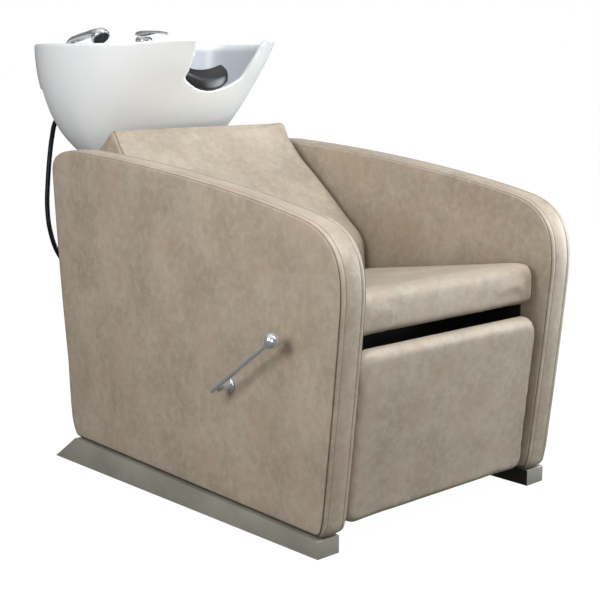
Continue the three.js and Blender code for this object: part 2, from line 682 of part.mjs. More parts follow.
function buildRear() {
  for (const [side, word] of [[-1, 'left'], [1, 'right']]) {
    const [x0, x1] = side < 0 ? COLUMN_HALF_X.map((x) => -x).reverse() : COLUMN_HALF_X;
    const w = COLUMN_WALL;
    const column = block(x0, x1, ...COLUMN_Y, CROSSBAR_Z[1] + GAP, COLUMN_TOP_Z);
    const hollow = block(x0 + w, x1 - w, COLUMN_Y[0] + w, COLUMN_Y[1] - w, 0, COLUMN_TOP_Z + 9);
    place(`basin_column_${word}`, cut(column, hollow), BLACK_PAINT);
  }
  place('basin_bracket', tiltBracket(), BLACK_PAINT);
  place('rear_cover', rearCover(), PLASTIC);
  const screws = SCREW_HEIGHTS.flatMap((z) => [[-1, z], [1, z]]);
  screws.forEach(([side, z], i) => {
    const head = turned([[0, 0], [5, 0], [3.2, 2.6], [0, 3]], 0, 0, 20);
    const y = coverY(z) + COVER_THICK + GAP + 0.4;
    head.rotateX(-Math.PI / 2).translate(side * (PANEL_IN - SCREW_INSET), y, z);
    place(`cover_screw_${i + 1}`, head, CHROME);
  });
  const [end, neck] = [TILT_PIN_HALF, TILT_PIN_HALF - PIN_HEAD_THICK];
  const pin = join(
    barX(TILT_PIN_RADIUS, -neck - 4, neck + 4, TILT.y, TILT.z),
    barX(PIN_HEAD_RADIUS, -end, -neck, TILT.y, TILT.z),
    barX(PIN_HEAD_RADIUS, neck, end, TILT.y, TILT.z));
  place('tilt_pin', pin, STEEL);
}

// ---------------------------------------------------------------- basin

// Signed power, for superellipses.
function bend(value, power) {
  return Math.sign(value) * Math.abs(value) ** power;
}

// A horizontal ring of a superellipse whose front and rear reaches differ.
function basinRing(centreY, half, front, rear, z, count = 48) {
  return Array.from({ length: count }, (_, i) => {
    const angle = (i / count) * Math.PI * 2;
    const across = bend(Math.cos(angle), 2 / BASIN_POWER);
    const along = bend(Math.sin(angle), 2 / BASIN_POWER);
    return [half * across, centreY + (along > 0 ? rear : front) * along, z];
  });
}

// How much of the rim's width is left at a depth below the rim.
function drawnIn(depth, whole) {
  return Math.max(1 - (depth / whole) ** BASIN_POWER, 0) ** (1 / BASIN_POWER);
}

function basinHull() {
  const layers = 10;
  const rings = [];
  for (let i = 0; i <= layers; i += 1) {
    const depth = (RIM_Z - BASIN_FOOT_Z) * Math.sin((1 - i / layers) * Math.PI / 2);
    const part = drawnIn(depth, BASIN_DEPTH);
    const front = BASIN_FRONT - BASIN_FRONT_SLOPE * depth;
    rings.push(basinRing(BASIN_Y, BASIN_HALF * part, front, BASIN_REAR * part, RIM_Z - depth));
  }
  return lofted(rings);
}

function bowlHollow() {
  const layers = 9;
  const rings = [];
  for (let i = 0; i <= layers; i += 1) {
    const depth = BOWL_DEPTH * 0.985 * Math.sin((1 - i / layers) * Math.PI / 2);
    const part = drawnIn(depth, BOWL_DEPTH);
    const front = BOWL_FRONT - BASIN_FRONT_SLOPE * depth;
    rings.push(basinRing(BOWL_Y, BOWL_HALF * part, front, BOWL_REAR * part, RIM_Z - depth));
  }
  const top = rings.at(-1).map(([x, y]) => [x, y, RIM_Z + 20]);
  return lofted([...rings, top]);
}

// The part of the rim's outline behind the tap ledge's front edge, kept inside the rim wall.
function ledgeShape(wall) {
  const shape = new THREE.Shape();
  const ring = basinRing(BASIN_Y, BASIN_HALF - wall, BASIN_FRONT, BASIN_REAR - wall, 0);
  const points = ring.filter(([, y]) => y > DECK_Y);
  points.forEach(([x, y], i) => (i === 0 ? shape.moveTo(x, y) : shape.lineTo(x, y)));
  shape.lineTo(points.at(-1)[0], DECK_Y);
  shape.lineTo(points[0][0], DECK_Y);
  shape.closePath();
  return shape;
}

function neckShape() {
  const shape = new THREE.Shape();
  shape.moveTo(-NECK_HALF_TOP, RIM_Z);
  shape.quadraticCurveTo(-NECK_FLARE.x, NECK_FLARE.z, -NECK_HALF_LOW, NECK_LOW_Z);
  shape.quadraticCurveTo(0, 2 * NECK_FLOOR_Z - NECK_LOW_Z, NECK_HALF_LOW, NECK_LOW_Z);
  shape.quadraticCurveTo(NECK_FLARE.x, NECK_FLARE.z, NECK_HALF_TOP, RIM_Z);
  shape.lineTo(NECK_HALF_TOP + 10, RIM_Z + 30);
  shape.lineTo(-NECK_HALF_TOP - 10, RIM_Z + 30);
  shape.closePath();
  return shape;
}

function basinBowl() {
  return cut(
    basinHull(),
    bowlHollow(),
    alongY(neckShape(), 520, 800),
    alongZ(ledgeShape(RIM_WALL), DECK_Z, RIM_Z + 20),
    alongZ(ledgeShape(RIM_WALL - 2), 600, DECK_UNDER_Z),
    hole(WASTE_SEAT_RADIUS, 0, WASTE_Y, WASTE_SEAT_Z, WASTE_SEAT_Z + 44),
    hole(WASTE_HOLE_RADIUS, 0, WASTE_Y, 600, 700),
    hole(MIXER_HOLE_RADIUS, MIXER.x, MIXER.y, DECK_UNDER_Z - 25, DECK_Z + 25),
    hole(DOCK_HOLE_RADIUS, DOCK.x, DOCK.y, DECK_UNDER_Z - 25, DECK_Z + 25));
}

// Saddle-shaped rubber pad in the neck dip.
function neckRest() {
  const shape = new THREE.Shape();
  const half = NECK_REST_HALF;
  const under = NECK_FLOOR_Z + NECK_REST_LIFT;
  const top = under + NECK_REST_THICK;
  shape.moveTo(-half, under + NECK_REST_RISE);
  shape.quadraticCurveTo(0, under - NECK_REST_RISE, half, under + NECK_REST_RISE);
  shape.lineTo(half, top + NECK_REST_RISE);
  shape.quadraticCurveTo(0, top - NECK_REST_RISE, -half, top + NECK_REST_RISE);
  shape.closePath();
  return alongY(shape, ...NECK_REST_Y, NECK_REST_EDGE);
}

// Steel plate under the basin's foot, with two ears on the tilt pin.
function basinCarrier() {
  const under = CARRIER_TOP_Z - CARRIER_THICK;
  const plate = block(-CARRIER_HALF, CARRIER_HALF, ...CARRIER_Y, under, CARRIER_TOP_Z);
  const ear = () => {
    const shape = new THREE.Shape();
    shape.moveTo(TILT.y - 9, CARRIER_TOP_Z - 2);
    shape.lineTo(TILT.y - CARRIER_EAR_RADIUS, TILT.z);
    shape.absarc(TILT.y, TILT.z, CARRIER_EAR_RADIUS, Math.PI, 0, false);
    shape.lineTo(TILT.y + 40, CARRIER_TOP_Z - 2);
    shape.closePath();
    return shape;
  };
  const [near, far] = CARRIER_EAR_X;
  const body = join(plate, alongX(ear(), -far, -near), alongX(ear(), near, far));
  const bore = barX(TILT_PIN_RADIUS + RUNNING_GAP / 2, -far - 4, far + 4, TILT.y, TILT.z);
  return cut(body, bore, hole(WASTE_HOLE_RADIUS + 2, 0, WASTE_Y, 600, 640));
}

function buildBasin() {
  place('basin_bowl', basinBowl(), CERAMIC);
  place('neck_rest', neckRest(), RUBBER);
  place('basin_carrier', basinCarrier(), BLACK_PAINT);
}

// ---------------------------------------------------------------- waste

function buildWaste() {
  const throat = [
    [17, 612], [WASTE_TUBE_RADIUS, 612], [WASTE_TUBE_RADIUS, WASTE_SEAT_Z + GAP], [31, WASTE_SEAT_Z + GAP],
    [31, WASTE_SEAT_Z + 4], [20, WASTE_SEAT_Z + 6], [17, WASTE_SEAT_Z + 2], [17, 612],
  ];
  place('waste_flange', turned(throat, 0, WASTE_Y), CHROME);
  const underCarrier = CARRIER_TOP_Z - CARRIER_THICK - GAP;
  place('waste_nut', nut(WASTE_TUBE_RADIUS + GAP, 36, 0, WASTE_Y, 615, underCarrier, 12), PLASTIC);
  const tail = [
    [WASTE_RADIUS - 2, 520], [WASTE_RADIUS, 520], [WASTE_RADIUS, 600], [24, 603], [24, 612 - GAP],
    [WASTE_RADIUS - 2, 612 - GAP], [WASTE_RADIUS - 2, 520],
  ];
  place('waste_tail', turned(tail, 0, WASTE_Y), PLASTIC);
  const strainer = [[0, 650], [14, 650], [16, 663], [19, 664], [19, 666], [4, 668], [4, 674], [0, 675]];
  place('hair_strainer', turned(strainer, 0, WASTE_Y), CHROME);
}

// ---------------------------------------------------------------- mixer

function buildMixer() {
  const body = turned([
    [0, 850], [MIXER_TUBE_RADIUS, 850], [MIXER_TUBE_RADIUS, DECK_Z + GAP], [25, DECK_Z + GAP], [25, 909],
    [22, 912], [21, 930], [0, 930],
  ], MIXER.x, MIXER.y);
  place('mixer_body', body, CHROME);
  place('mixer_nut', nut(MIXER_TUBE_RADIUS + GAP, 24, MIXER.x, MIXER.y, 870, DECK_UNDER_Z - GAP), BRASS);
  const cap = turned([[0, 930 + GAP], [21, 930 + GAP], [20, 938], [15, 942], [0, 942]], MIXER.x, MIXER.y);
  place('mixer_cap', cap, CHROME);

  const lever = new THREE.Shape();
  lever.moveTo(1107, 944);
  lever.quadraticCurveTo(1108, 955, 1085, 956);
  lever.quadraticCurveTo(1040, 957, 998, 951);
  lever.lineTo(992, 946);
  lever.lineTo(1000, 946);
  lever.quadraticCurveTo(1040, 951, 1062, 947);
  lever.lineTo(1066, 943);
  lever.lineTo(1104, 943);
  lever.closePath();
  place('mixer_lever', alongX(lever, MIXER.x - MIXER_HALF_WIDTH, MIXER.x + MIXER_HALF_WIDTH, 2), CHROME);

  for (const [side, word] of [[-1, 'hot'], [1, 'cold']]) {
    const x = MIXER.x + side * INLET_SPACING;
    const stub = turned([
      [3, 790], [7.5, 790], [7.5, 802], [5, 802], [5, 850 - GAP], [3, 850 - GAP], [3, 790],
    ], x, MIXER.y - 4, 20);
    place(`inlet_${word}`, stub, BRASS);
  }
}

// ---------------------------------------------------------------- hand shower

// From under the handset's dock, down in a loop and up to the mixer's outlet nut.
const HOSE_ROUTE = [
  [-115, 1090, 799.4], [-115, 1090, 790], [-121, 1108, 768], [-132, 1138, 735], [-134, 1151, 700],
  [-137, 1158, 660], [-141, 1164, 600], [-143, 1169, 530], [-138, 1168, 470], [-118, 1166, 410],
  [-80, 1164, 366], [-32, 1162, 348], [18, 1160, 364], [60, 1156, 412], [88, 1150, 490],
  [102, 1140, 580], [105, 1124, 670], [102, 1108, 750], [100, 1102, 815], [100, 1102, 829.4],
];

function curveThrough(points) {
  const nodes = points.map((point) => new THREE.Vector3(...point));
  return new THREE.CatmullRomCurve3(nodes, false, 'centripetal');
}

function buildShower() {
  const holder = turned([
    [8, 860], [DOCK_TUBE_RADIUS, 860], [DOCK_TUBE_RADIUS, DECK_Z + GAP], [20, DECK_Z + GAP], [20, 908],
    [15, 914], [8, 914], [8, 860],
  ], DOCK.x, DOCK.y);
  place('shower_holder', holder, CHROME);
  place('holder_nut', nut(DOCK_TUBE_RADIUS + GAP, 20, DOCK.x, DOCK.y, 874, DECK_UNDER_Z - GAP), BRASS);

  const grip = curveThrough([
    [DOCK.x, DOCK.y, 916], [DOCK.x, DOCK.y, 924], [DOCK.x, DOCK.y - 18, 936],
    [DOCK.x, DOCK.y - 50, 941], [DOCK.x, DOCK.y - 80, 944], [DOCK.x, DOCK.y - 110, 947],
  ]);
  const head = turned([[0, 0], [20, 0], [23, 4], [22, 10], [13, 20], [0, 22]], 0, 0);
  head.rotateX(HEAD_TILT).translate(DOCK.x, DOCK.y - HEAD_REACH, HEAD_Z);
  place('handset_body', join(swept(grip, GRIP_RADIUS, 14, 14), head), CHROME);
  const face = turned([[0, -4], [17, -4], [18, -GAP], [0, -GAP]], 0, 0);
  face.rotateX(HEAD_TILT).translate(DOCK.x, DOCK.y - HEAD_REACH, HEAD_Z);
  place('spray_face', face, PLASTIC);
  const tail = rodProfile(HOSE_RADIUS, TAIL_BOTTOM_Z, 915 - 2 * GAP);
  place('handset_tail', turned(tail, DOCK.x, DOCK.y, 16), RUBBER);

  place('shower_hose', swept(curveThrough(HOSE_ROUTE), HOSE_RADIUS, 8, 46), RUBBER);
  place('hose_nut', nut(5.5, 9, MIXER.x, HOSE_NUT_Y, 830, 848), BRASS);
}

// ---------------------------------------------------------------- assembly

buildBase();
buildSides();
buildSeatAndBack();
buildLegRest();
buildLever();
buildRear();
buildBasin();
buildWaste();
buildMixer();
buildShower();

// Stand the unit on the floor, centred on its bounding box.
const bounds = new THREE.Box3().setFromObject(unit, true);
const centre = bounds.getCenter(new THREE.Vector3());
unit.position.set(-centre.x, -centre.y, 0);

export default unit;
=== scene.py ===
import json
import math

import bmesh
import bpy
import numpy as np
from mathutils import Matrix, Vector, noise
from mathutils.geometry import delaunay_2d_cdt

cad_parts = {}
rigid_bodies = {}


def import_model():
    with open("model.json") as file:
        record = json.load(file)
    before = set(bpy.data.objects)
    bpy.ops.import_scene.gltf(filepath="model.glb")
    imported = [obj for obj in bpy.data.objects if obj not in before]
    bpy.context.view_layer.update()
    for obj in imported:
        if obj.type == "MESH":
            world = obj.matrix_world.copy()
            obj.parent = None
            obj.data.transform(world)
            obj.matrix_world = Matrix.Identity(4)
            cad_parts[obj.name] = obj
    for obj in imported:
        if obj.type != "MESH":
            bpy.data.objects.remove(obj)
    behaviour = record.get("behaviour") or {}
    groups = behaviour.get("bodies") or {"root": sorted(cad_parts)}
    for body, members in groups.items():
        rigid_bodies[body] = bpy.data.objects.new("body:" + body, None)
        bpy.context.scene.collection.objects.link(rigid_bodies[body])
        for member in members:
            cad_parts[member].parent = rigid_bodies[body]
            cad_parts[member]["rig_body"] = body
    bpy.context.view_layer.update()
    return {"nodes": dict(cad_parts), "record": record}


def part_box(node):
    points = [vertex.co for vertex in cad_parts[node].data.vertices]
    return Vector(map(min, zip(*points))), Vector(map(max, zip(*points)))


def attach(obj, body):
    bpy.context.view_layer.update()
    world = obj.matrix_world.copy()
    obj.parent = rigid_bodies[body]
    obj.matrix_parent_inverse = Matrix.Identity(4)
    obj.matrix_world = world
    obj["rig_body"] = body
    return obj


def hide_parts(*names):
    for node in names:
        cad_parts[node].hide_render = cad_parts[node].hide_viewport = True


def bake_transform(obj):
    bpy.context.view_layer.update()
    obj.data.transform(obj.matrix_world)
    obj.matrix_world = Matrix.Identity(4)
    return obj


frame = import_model()

# The part's own millimetres: x from the seat's middle, y from the rails' front, z from the floor.
MM = 0.001
X0 = sum(corner.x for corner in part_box("seat_cushion")) / 2
Y0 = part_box("base_rail_left")[0].y

PANEL_MIDDLE = 297.5
PANEL_HALF = 32.5
PANEL_STEP = 6.0
RAIL_HEIGHTS = (34.0, 57.0)
RAIL_SHOULDER = 784.0
SEAT_HALF = 261.0
BACK_HALF = 253.5
LEG_HALF = 259.5
LEG_TOP, LEG_FOOT = (-33.0, 380.0), (2.0, 44.0)
RIM_Z = 922.0
BASIN_Y = 930.0
BOWL_Y = 925.0
BASIN_POWER = 2.2
WING_RISE = 8.0
SKIRT_Z = 815.0
MIXER = (100.0, 1085.0)
DOCK = (-115.0, 1090.0)
LEVER = (243.0, 280.0)
LEVER_ROD_X = -366.0


def at(x, y, z):
    """A point given in the part's own millimetres, in the row frame's metres."""
    return Vector((X0 + x * MM, Y0 + y * MM, z * MM))


def rows(points):
    """Many such points at once, as an array."""
    points = np.asarray(points, float)
    return points * MM + np.array([X0, Y0, 0.0])


def millimetres(points):
    """The row frame's metres, back in the part's millimetres."""
    return (points - np.array([X0, Y0, 0.0])) / MM


# ---- camera

def place_camera():
    """The photograph's view: a long lens a little below the basin's rim, to the sitter's front right."""
    azimuth, elevation = math.radians(-42.82), math.radians(10.39)
    back = Vector((
        math.sin(azimuth) * math.cos(elevation),
        -math.cos(azimuth) * math.cos(elevation),
        math.sin(elevation)))
    right = Vector((math.cos(azimuth), math.sin(azimuth), 0.0))
    up = back.cross(right)
    data = bpy.data.cameras.new("camera")
    data.lens = 78.23
    data.sensor_width = 36.0
    data.shift_x = 0.0005
    data.shift_y = -0.0038
    data.clip_start, data.clip_end = 0.05, 200.0
    camera = bpy.data.objects.new("camera", data)
    turn = Matrix((right, up, back)).transposed().to_4x4()
    camera.matrix_world = Matrix.Translation(at(-1867, -1609, 888.3)) @ turn
    bpy.context.scene.collection.objects.link(camera)
    bpy.context.scene.camera = camera


place_camera()


# ---- materials

class Look:
    """A node material under construction."""

    def __init__(self, name):
        self.material = bpy.data.materials.new(name)
        self.material.use_nodes = True
        self.tree = self.material.node_tree
        self.shader = self.tree.nodes["Principled BSDF"]
        self.place = self.node("ShaderNodeTexCoord").outputs["Object"]

    def node(self, kind, inputs=None, **settings):
        made = self.tree.nodes.new(kind)
        for key, value in settings.items():
            setattr(made, key, value)
        for key, value in (inputs or {}).items():
            if isinstance(value, bpy.types.NodeSocket):
                self.tree.links.new(value, made.inputs[key])
            else:
                made.inputs[key].default_value = value
        return made

    def stretched(self, x, y, z):
        return self.node("ShaderNodeMapping", {"Vector": self.place, "Scale": (x, y, z)}).outputs[0]

    def noise(self, scale, detail=3.0, roughness=0.55, distortion=0.0, vector=None):
        return self.node("ShaderNodeTexNoise", {
            "Vector": vector or self.place, "Scale": scale, "Detail": detail,
            "Roughness": roughness, "Distortion": distortion}).outputs["Fac"]

    def cells(self, scale, feature="F1", vector=None):
        return self.node("ShaderNodeTexVoronoi", {
            "Vector": vector or self.place, "Scale": scale}, feature=feature).outputs["Distance"]

    def spread(self, value, low, high, to_low=0.0, to_high=1.0):
        return self.node("ShaderNodeMapRange", {
            "Value": value, "From Min": low, "From Max": high,
            "To Min": to_low, "To Max": to_high}).outputs[0]

    def mark(self, name):
        return self.node("ShaderNodeAttribute", attribute_name=name).outputs["Fac"]

    def mix(self, part, first, second):
        made = self.node("ShaderNodeMix", data_type="RGBA")
        for socket, value in ((0, part), (6, first), (7, second)):
            if isinstance(value, bpy.types.NodeSocket):
                self.tree.links.new(value, made.inputs[socket])
            else:
                made.inputs[socket].default_value = value
        return made.outputs[2]

    def bump(self, height, depth, strength=1.0, under=None):
        inputs = {"Height": height, "Distance": depth, "Strength": strength}
        if under is not None:
            inputs["Normal"] = under
        return self.node("ShaderNodeBump", inputs).outputs[0]

    def finish(self, **values):
        for key, value in values.items():
            socket = self.shader.inputs[key.replace("_", " ")]
            if isinstance(value, bpy.types.NodeSocket):
                self.tree.links.new(value, socket)
            else:
                socket.default_value = value
        return self.material


def rgb(red, green, blue):
    """An sRGB colour from 0 to 255, as the linear values that a socket holds."""
    def linear(value):
        value /= 255
        return value / 12.92 if value <= 0.04045 else ((value + 0.055) / 1.055) ** 2.4
    return (linear(red), linear(green), linear(blue), 1.0)


def leather(name, dark, light, warm, streak=(1.0, 1.0, 0.9)):
    """Mottled imitation leather: flecks over soft clouds, warm and cool by turns, with a fine grain, and
    painted shade darkening its seams and the arm panels' lower edges.
    """
    look = Look(name)
    drawn = look.stretched(*streak)
    clouds = look.noise(10, 5, 0.62, 0.3, drawn)
    flecks = look.noise(62, 5, 0.66, 0.5, drawn)
    specks = look.noise(170, 3, 0.6, 0.3, drawn)
    tint = look.noise(12, 4, 0.62, 0.5, look.stretched(1.0, 1.0, 0.9))
    cool = look.noise(11, 4, 0.6, 0.4, look.stretched(1.0, 1.0, 1.0))
    body = look.mix(look.spread(clouds, 0.36, 0.64, 0.18, 0.72), dark, light)
    body = look.mix(look.spread(flecks, 0.47, 0.70, 0.0, 0.55), body, light)
    body = look.mix(look.spread(flecks, 0.52, 0.34, 0.0, 0.34), body, dark)
    body = look.mix(look.spread(specks, 0.52, 0.74, 0.0, 0.30), body, light)
    body = look.mix(look.spread(tint, 0.47, 0.66, 0.0, 0.45), body, warm)
    body = look.mix(look.spread(cool, 0.54, 0.70, 0.0, 0.15), body, HIDE_COOL)
    # Painted shade: where the seam mark is set, in seam grooves and along the arm panels' lower edges over
    # the rails, the colour darkens towards a deep brown.
    body = look.mix(look.mark("painted_seam_shade"), body, rgb(60, 50, 41))
    grain = look.cells(620, "SMOOTH_F1", look.stretched(1.0, 1.0, 1.0))
    pores = look.noise(1500, 2, 0.5)
    swell = look.noise(38, 3, 0.5)
    relief = look.bump(swell, 0.0010, 0.45)
    relief = look.bump(grain, 0.0004, 0.25, relief)
    relief = look.bump(pores, 0.0002, 0.20, relief)
    return look.finish(
        Base_Color=body, Roughness=look.spread(clouds, 0.3, 0.7, 0.42, 0.52), Normal=relief,
        Specular_IOR_Level=0.55, Sheen_Weight=0.08, Sheen_Roughness=0.45)


def brushed_steel(name):
    """Satin stainless steel, its brushing drawn along the rails."""
    look = Look(name)
    lines = look.noise(1.0, 4, 0.6, 0.0, look.stretched(900, 14, 900))
    cloud = look.noise(9, 3)
    colour = look.mix(look.spread(cloud, 0.35, 0.65), rgb(162, 160, 149), rgb(178, 175, 163))
    return look.finish(
        Base_Color=colour, Metallic=0.4, Anisotropic=0.4,
        Roughness=look.spread(lines, 0.3, 0.7, 0.26, 0.40), Normal=look.bump(lines, 0.0001, 0.35))


def chrome(name):
    look = Look(name)
    smears = look.noise(40, 4, 0.6)
    colour = look.mix(look.spread(smears, 0.4, 0.7), rgb(214, 216, 218), rgb(226, 227, 228))
    return look.finish(
        Base_Color=colour, Metallic=0.75, Roughness=look.spread(smears, 0.35, 0.75, 0.04, 0.11),
        Normal=look.bump(smears, 0.0001, 0.10))


def glazed(name):
    """Vitreous glaze: nearly white, very slightly uneven, with a clear glossy coat, and painted shade
    inside the bowl.
    """
    look = Look(name)
    clouds = look.noise(7, 3, 0.5)
    specks = look.noise(240, 2, 0.5)
    colour = look.mix(look.spread(clouds, 0.35, 0.65), rgb(240, 243, 245), rgb(244, 246, 247))
    # Painted shade: inside the bowl, where the inner mark is set, the glaze colour turns to a darker
    # blue-grey.
    colour = look.mix(look.mark("inner"), colour, rgb(198, 202, 208))
    colour = look.mix(look.spread(specks, 0.72, 0.80, 0.0, 0.06), colour, rgb(190, 190, 186))
    relief = look.bump(look.noise(60, 2, 0.5), 0.0003, 0.15)
    return look.finish(
        Base_Color=colour, Roughness=look.spread(clouds, 0.3, 0.7, 0.28, 0.34), Normal=relief,
        Specular_IOR_Level=0.4, Coat_Weight=0.12, Coat_Roughness=0.12)


def moulded(name, dark, light, rough, grain, depth=0.0002, specular=0.5):
    """Rubber, plastic or paint: a dark tone with faint wear and a fine surface texture."""
    look = Look(name)
    wear = look.noise(34, 4, 0.6)
    colour = look.mix(look.spread(wear, 0.4, 0.75), dark, light)
    relief = look.bump(look.noise(grain, 3, 0.6), depth, 0.4)
    return look.finish(
        Base_Color=colour, Roughness=look.spread(wear, 0.3, 0.7, rough - 0.05, rough + 0.07),
        Normal=relief, Specular_IOR_Level=specular)


def plywood(name):
    look = Look(name)
    rings = look.node("ShaderNodeTexWave", {
        "Vector": look.stretched(1.0, 9.0, 9.0), "Scale": 5.0,
        "Distortion": 6.0, "Detail": 3.0}).outputs["Fac"]
    colour = look.mix(rings, rgb(166, 128, 86), rgb(198, 162, 116))
    return look.finish(
        Base_Color=colour, Roughness=look.spread(rings, 0, 1, 0.55, 0.7),
        Normal=look.bump(rings, 0.0003, 0.3))


def brass(name):
    look = Look(name)
    cloud = look.noise(60, 4)
    colour = look.mix(look.spread(cloud, 0.35, 0.7), rgb(168, 132, 66), rgb(196, 160, 92))
    return look.finish(
        Base_Color=colour, Metallic=1.0, Roughness=look.spread(cloud, 0.3, 0.7, 0.24, 0.40),
        Normal=look.bump(cloud, 0.0001, 0.2))


HIDE_DARK, HIDE_LIGHT = rgb(146, 133, 116), rgb(181, 169, 152)
HIDE_WARM, HIDE_COOL = rgb(171, 147, 129), rgb(146, 144, 129)
LEATHER = leather("leather_arms", HIDE_DARK, HIDE_LIGHT, HIDE_WARM)
LEATHER_SEAT = leather("leather_seat", HIDE_DARK, HIDE_LIGHT, HIDE_WARM, (0.9, 1.0, 1.0))
THREAD = moulded("thread", rgb(140, 127, 110), rgb(166, 153, 135), 0.7, 2400)
STEEL = brushed_steel("brushed_steel")
CHROME = chrome("chrome")
CERAMIC = glazed("glazed_ceramic")
RUBBER = moulded("black_rubber", rgb(16, 16, 17), rgb(28, 28, 29), 0.34, 900, specular=0.6)
HOSE = moulded("black_hose", rgb(12, 12, 12), rgb(24, 24, 24), 0.30, 1400)
BLACK_PAINT = moulded("black_paint", rgb(22, 19, 15), rgb(36, 32, 27), 0.55, 700)
PLASTIC = moulded("dark_plastic", rgb(38, 38, 39), rgb(54, 54, 55), 0.45, 1100)
WOOD = plywood("plywood")
BRASS = brass("brass")
SLOT_LOOKS = {
    "leather": LEATHER, "steel": STEEL, "chrome": CHROME, "ceramic": CERAMIC, "rubber": RUBBER,
    "black_paint": BLACK_PAINT, "wood": WOOD, "plastic": PLASTIC, "brass": BRASS,
}
SLOT_OF = {part["node"]: part["material_slot"] for part in frame["record"]["subparts"]}


# ---- mesh tools

def circle(count):
    """Angles that go once round, evenly."""
    return np.linspace(0, 2 * math.pi, count, endpoint=False)


def settle(mesh, angle=None):
    """Makes the faces point outwards and shades them smooth, sharp only past the angle."""
    work = bmesh.new()
    work.from_mesh(mesh)
    bmesh.ops.remove_doubles(work, verts=work.verts, dist=1e-6)
    bmesh.ops.dissolve_degenerate(work, edges=work.edges, dist=1e-7)
    bmesh.ops.recalc_face_normals(work, faces=work.faces)
    work.to_mesh(mesh)
    work.free()
    mesh.shade_smooth()
    if angle is not None:
        mesh.set_sharp_from_angle(angle=math.radians(angle))


def piece(name, points, faces, look, body=None, slot=None, replaces=(), angle=None, marks=None):
    """A mesh piece from points in the part's millimetres."""
    mesh = bpy.data.meshes.new(name)
    mesh.from_pydata(rows(points).tolist(), [], faces)
    for key, values in (marks or {}).items():
        set_mark(mesh, key, values)
    settle(mesh, angle)
    made = bpy.data.objects.new(name, mesh)
    bpy.context.scene.collection.objects.link(made)
    mesh.materials.append(look)
    if replaces:
        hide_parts(*replaces)
    if body:
        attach(made, body)
    return made


def loft(rings, caps=True):
    """Points and faces of a skin over rings of equally many points, closed round each ring."""
    count = len(rings[0])
    points = [tuple(p) for ring in rings for p in ring]
    faces = []
    for r in range(len(rings) - 1):
        for i in range(count):
            a, b = r * count + i, r * count + (i + 1) % count
            faces.append((a, b, b + count, a + count))
    if caps:
        faces.append(tuple(range(count - 1, -1, -1)))
        faces.append(tuple(range((len(rings) - 1) * count, len(rings) * count)))
    return points, faces


def turned(profile, x, y):
    """A body of revolution about an upright axis from [radius, height] pairs, its ends on the axis."""
    rings = [[(x + r * math.cos(t), y + r * math.sin(t), z) for t in circle(48)] for r, z in profile]
    return loft(rings)


def bezier(control, steps):
    """Points along a Bezier curve of any degree."""
    t = np.linspace(0, 1, steps + 1)[:, None]
    layer = [np.asarray(p, float)[None, :] for p in control]
    while len(layer) > 1:
        layer = [a * (1 - t) + b * t for a, b in zip(layer, layer[1:])]
    return layer[0]


def evenly(points, step, closed=True):
    """The same line with its points an even distance apart."""
    points = np.asarray(points, float)
    if closed:
        points = np.vstack([points, points[:1]])
    run = np.concatenate([[0], np.cumsum(np.linalg.norm(np.diff(points, axis=0), axis=1))])
    count = max(int(round(run[-1] / step)), 3)
    marks = np.linspace(0, run[-1], count + 1)
    out = np.column_stack([np.interp(marks, run, points[:, k]) for k in range(points.shape[1])])
    return out[:-1] if closed else out


def inward(points):
    """Unit normals into a closed flat outline."""
    along = np.roll(points, -1, 0) - np.roll(points, 1, 0)
    along /= np.linalg.norm(along, axis=1)[:, None]
    area = np.sum(points[:, 0] * np.roll(points[:, 1], -1) - np.roll(points[:, 0], -1) * points[:, 1])
    side = np.column_stack([-along[:, 1], along[:, 0]])
    return side if area > 0 else -side


def filleted(corners, step=4.0):
    """A closed outline from (u, v, radius) corners, its corners rounded."""
    line = []
    count = len(corners)
    for i in range(count):
        before, here, after = (np.array(corners[(i + k) % count][:2], float) for k in (-1, 0, 1))
        radius = corners[i][2]
        to_before, to_after = before - here, after - here
        a, b = (v / np.linalg.norm(v) for v in (to_before, to_after))
        half = math.acos(max(-1.0, min(1.0, float(a @ b)))) / 2
        reach = min(
            radius / math.tan(half), 0.49 * np.linalg.norm(to_before), 0.49 * np.linalg.norm(to_after))
        line.extend(bezier([here + a * reach, here, here + b * reach], 6))
    return evenly(line, step)


def smoothstep(value):
    value = np.clip(value, 0, 1)
    return value * value * (3 - 2 * value)


def distance_to(points, loop):
    """Distance from each flat point to a closed outline."""
    a, b = loop, np.roll(loop, -1, 0)
    best = np.full(len(points), 1e9)
    for start, end in zip(a, b):
        along = end - start
        t = np.clip(((points - start) @ along) / (along @ along), 0, 1)
        best = np.minimum(best, np.linalg.norm(points - start - t[:, None] * along, axis=1))
    return best


def inside(points, loop):
    """Which flat points lie inside a closed outline."""
    found = np.zeros(len(points), bool)
    for (y0, z0), (y1, z1) in zip(loop, np.roll(loop, -1, 0)):
        crosses = (z0 > points[:, 1]) != (z1 > points[:, 1])
        with np.errstate(divide="ignore", invalid="ignore"):
            edge = y0 + (points[:, 1] - z0) * (y1 - y0) / (z1 - z0)
        found ^= crosses & (points[:, 0] < edge)
    return found


def tube(line, radius, sides=16, caps=True):
    """Points and faces of a round tube along a line, with one radius or one for each point."""
    line = np.asarray(line, float)
    radii = np.broadcast_to(np.asarray(radius, float), (len(line),))
    along = np.gradient(line, axis=0)
    along /= np.linalg.norm(along, axis=1)[:, None]
    side = np.cross(along[0], [0.3, 0.9, 0.31])
    side /= np.linalg.norm(side)
    rings = []
    for centre, direction, r in zip(line, along, radii):
        side = side - direction * (side @ direction)
        side /= np.linalg.norm(side)
        other = np.cross(direction, side)
        rings.append([centre + r * (math.cos(t) * side + math.sin(t) * other) for t in circle(sides)])
    return loft(rings, caps)


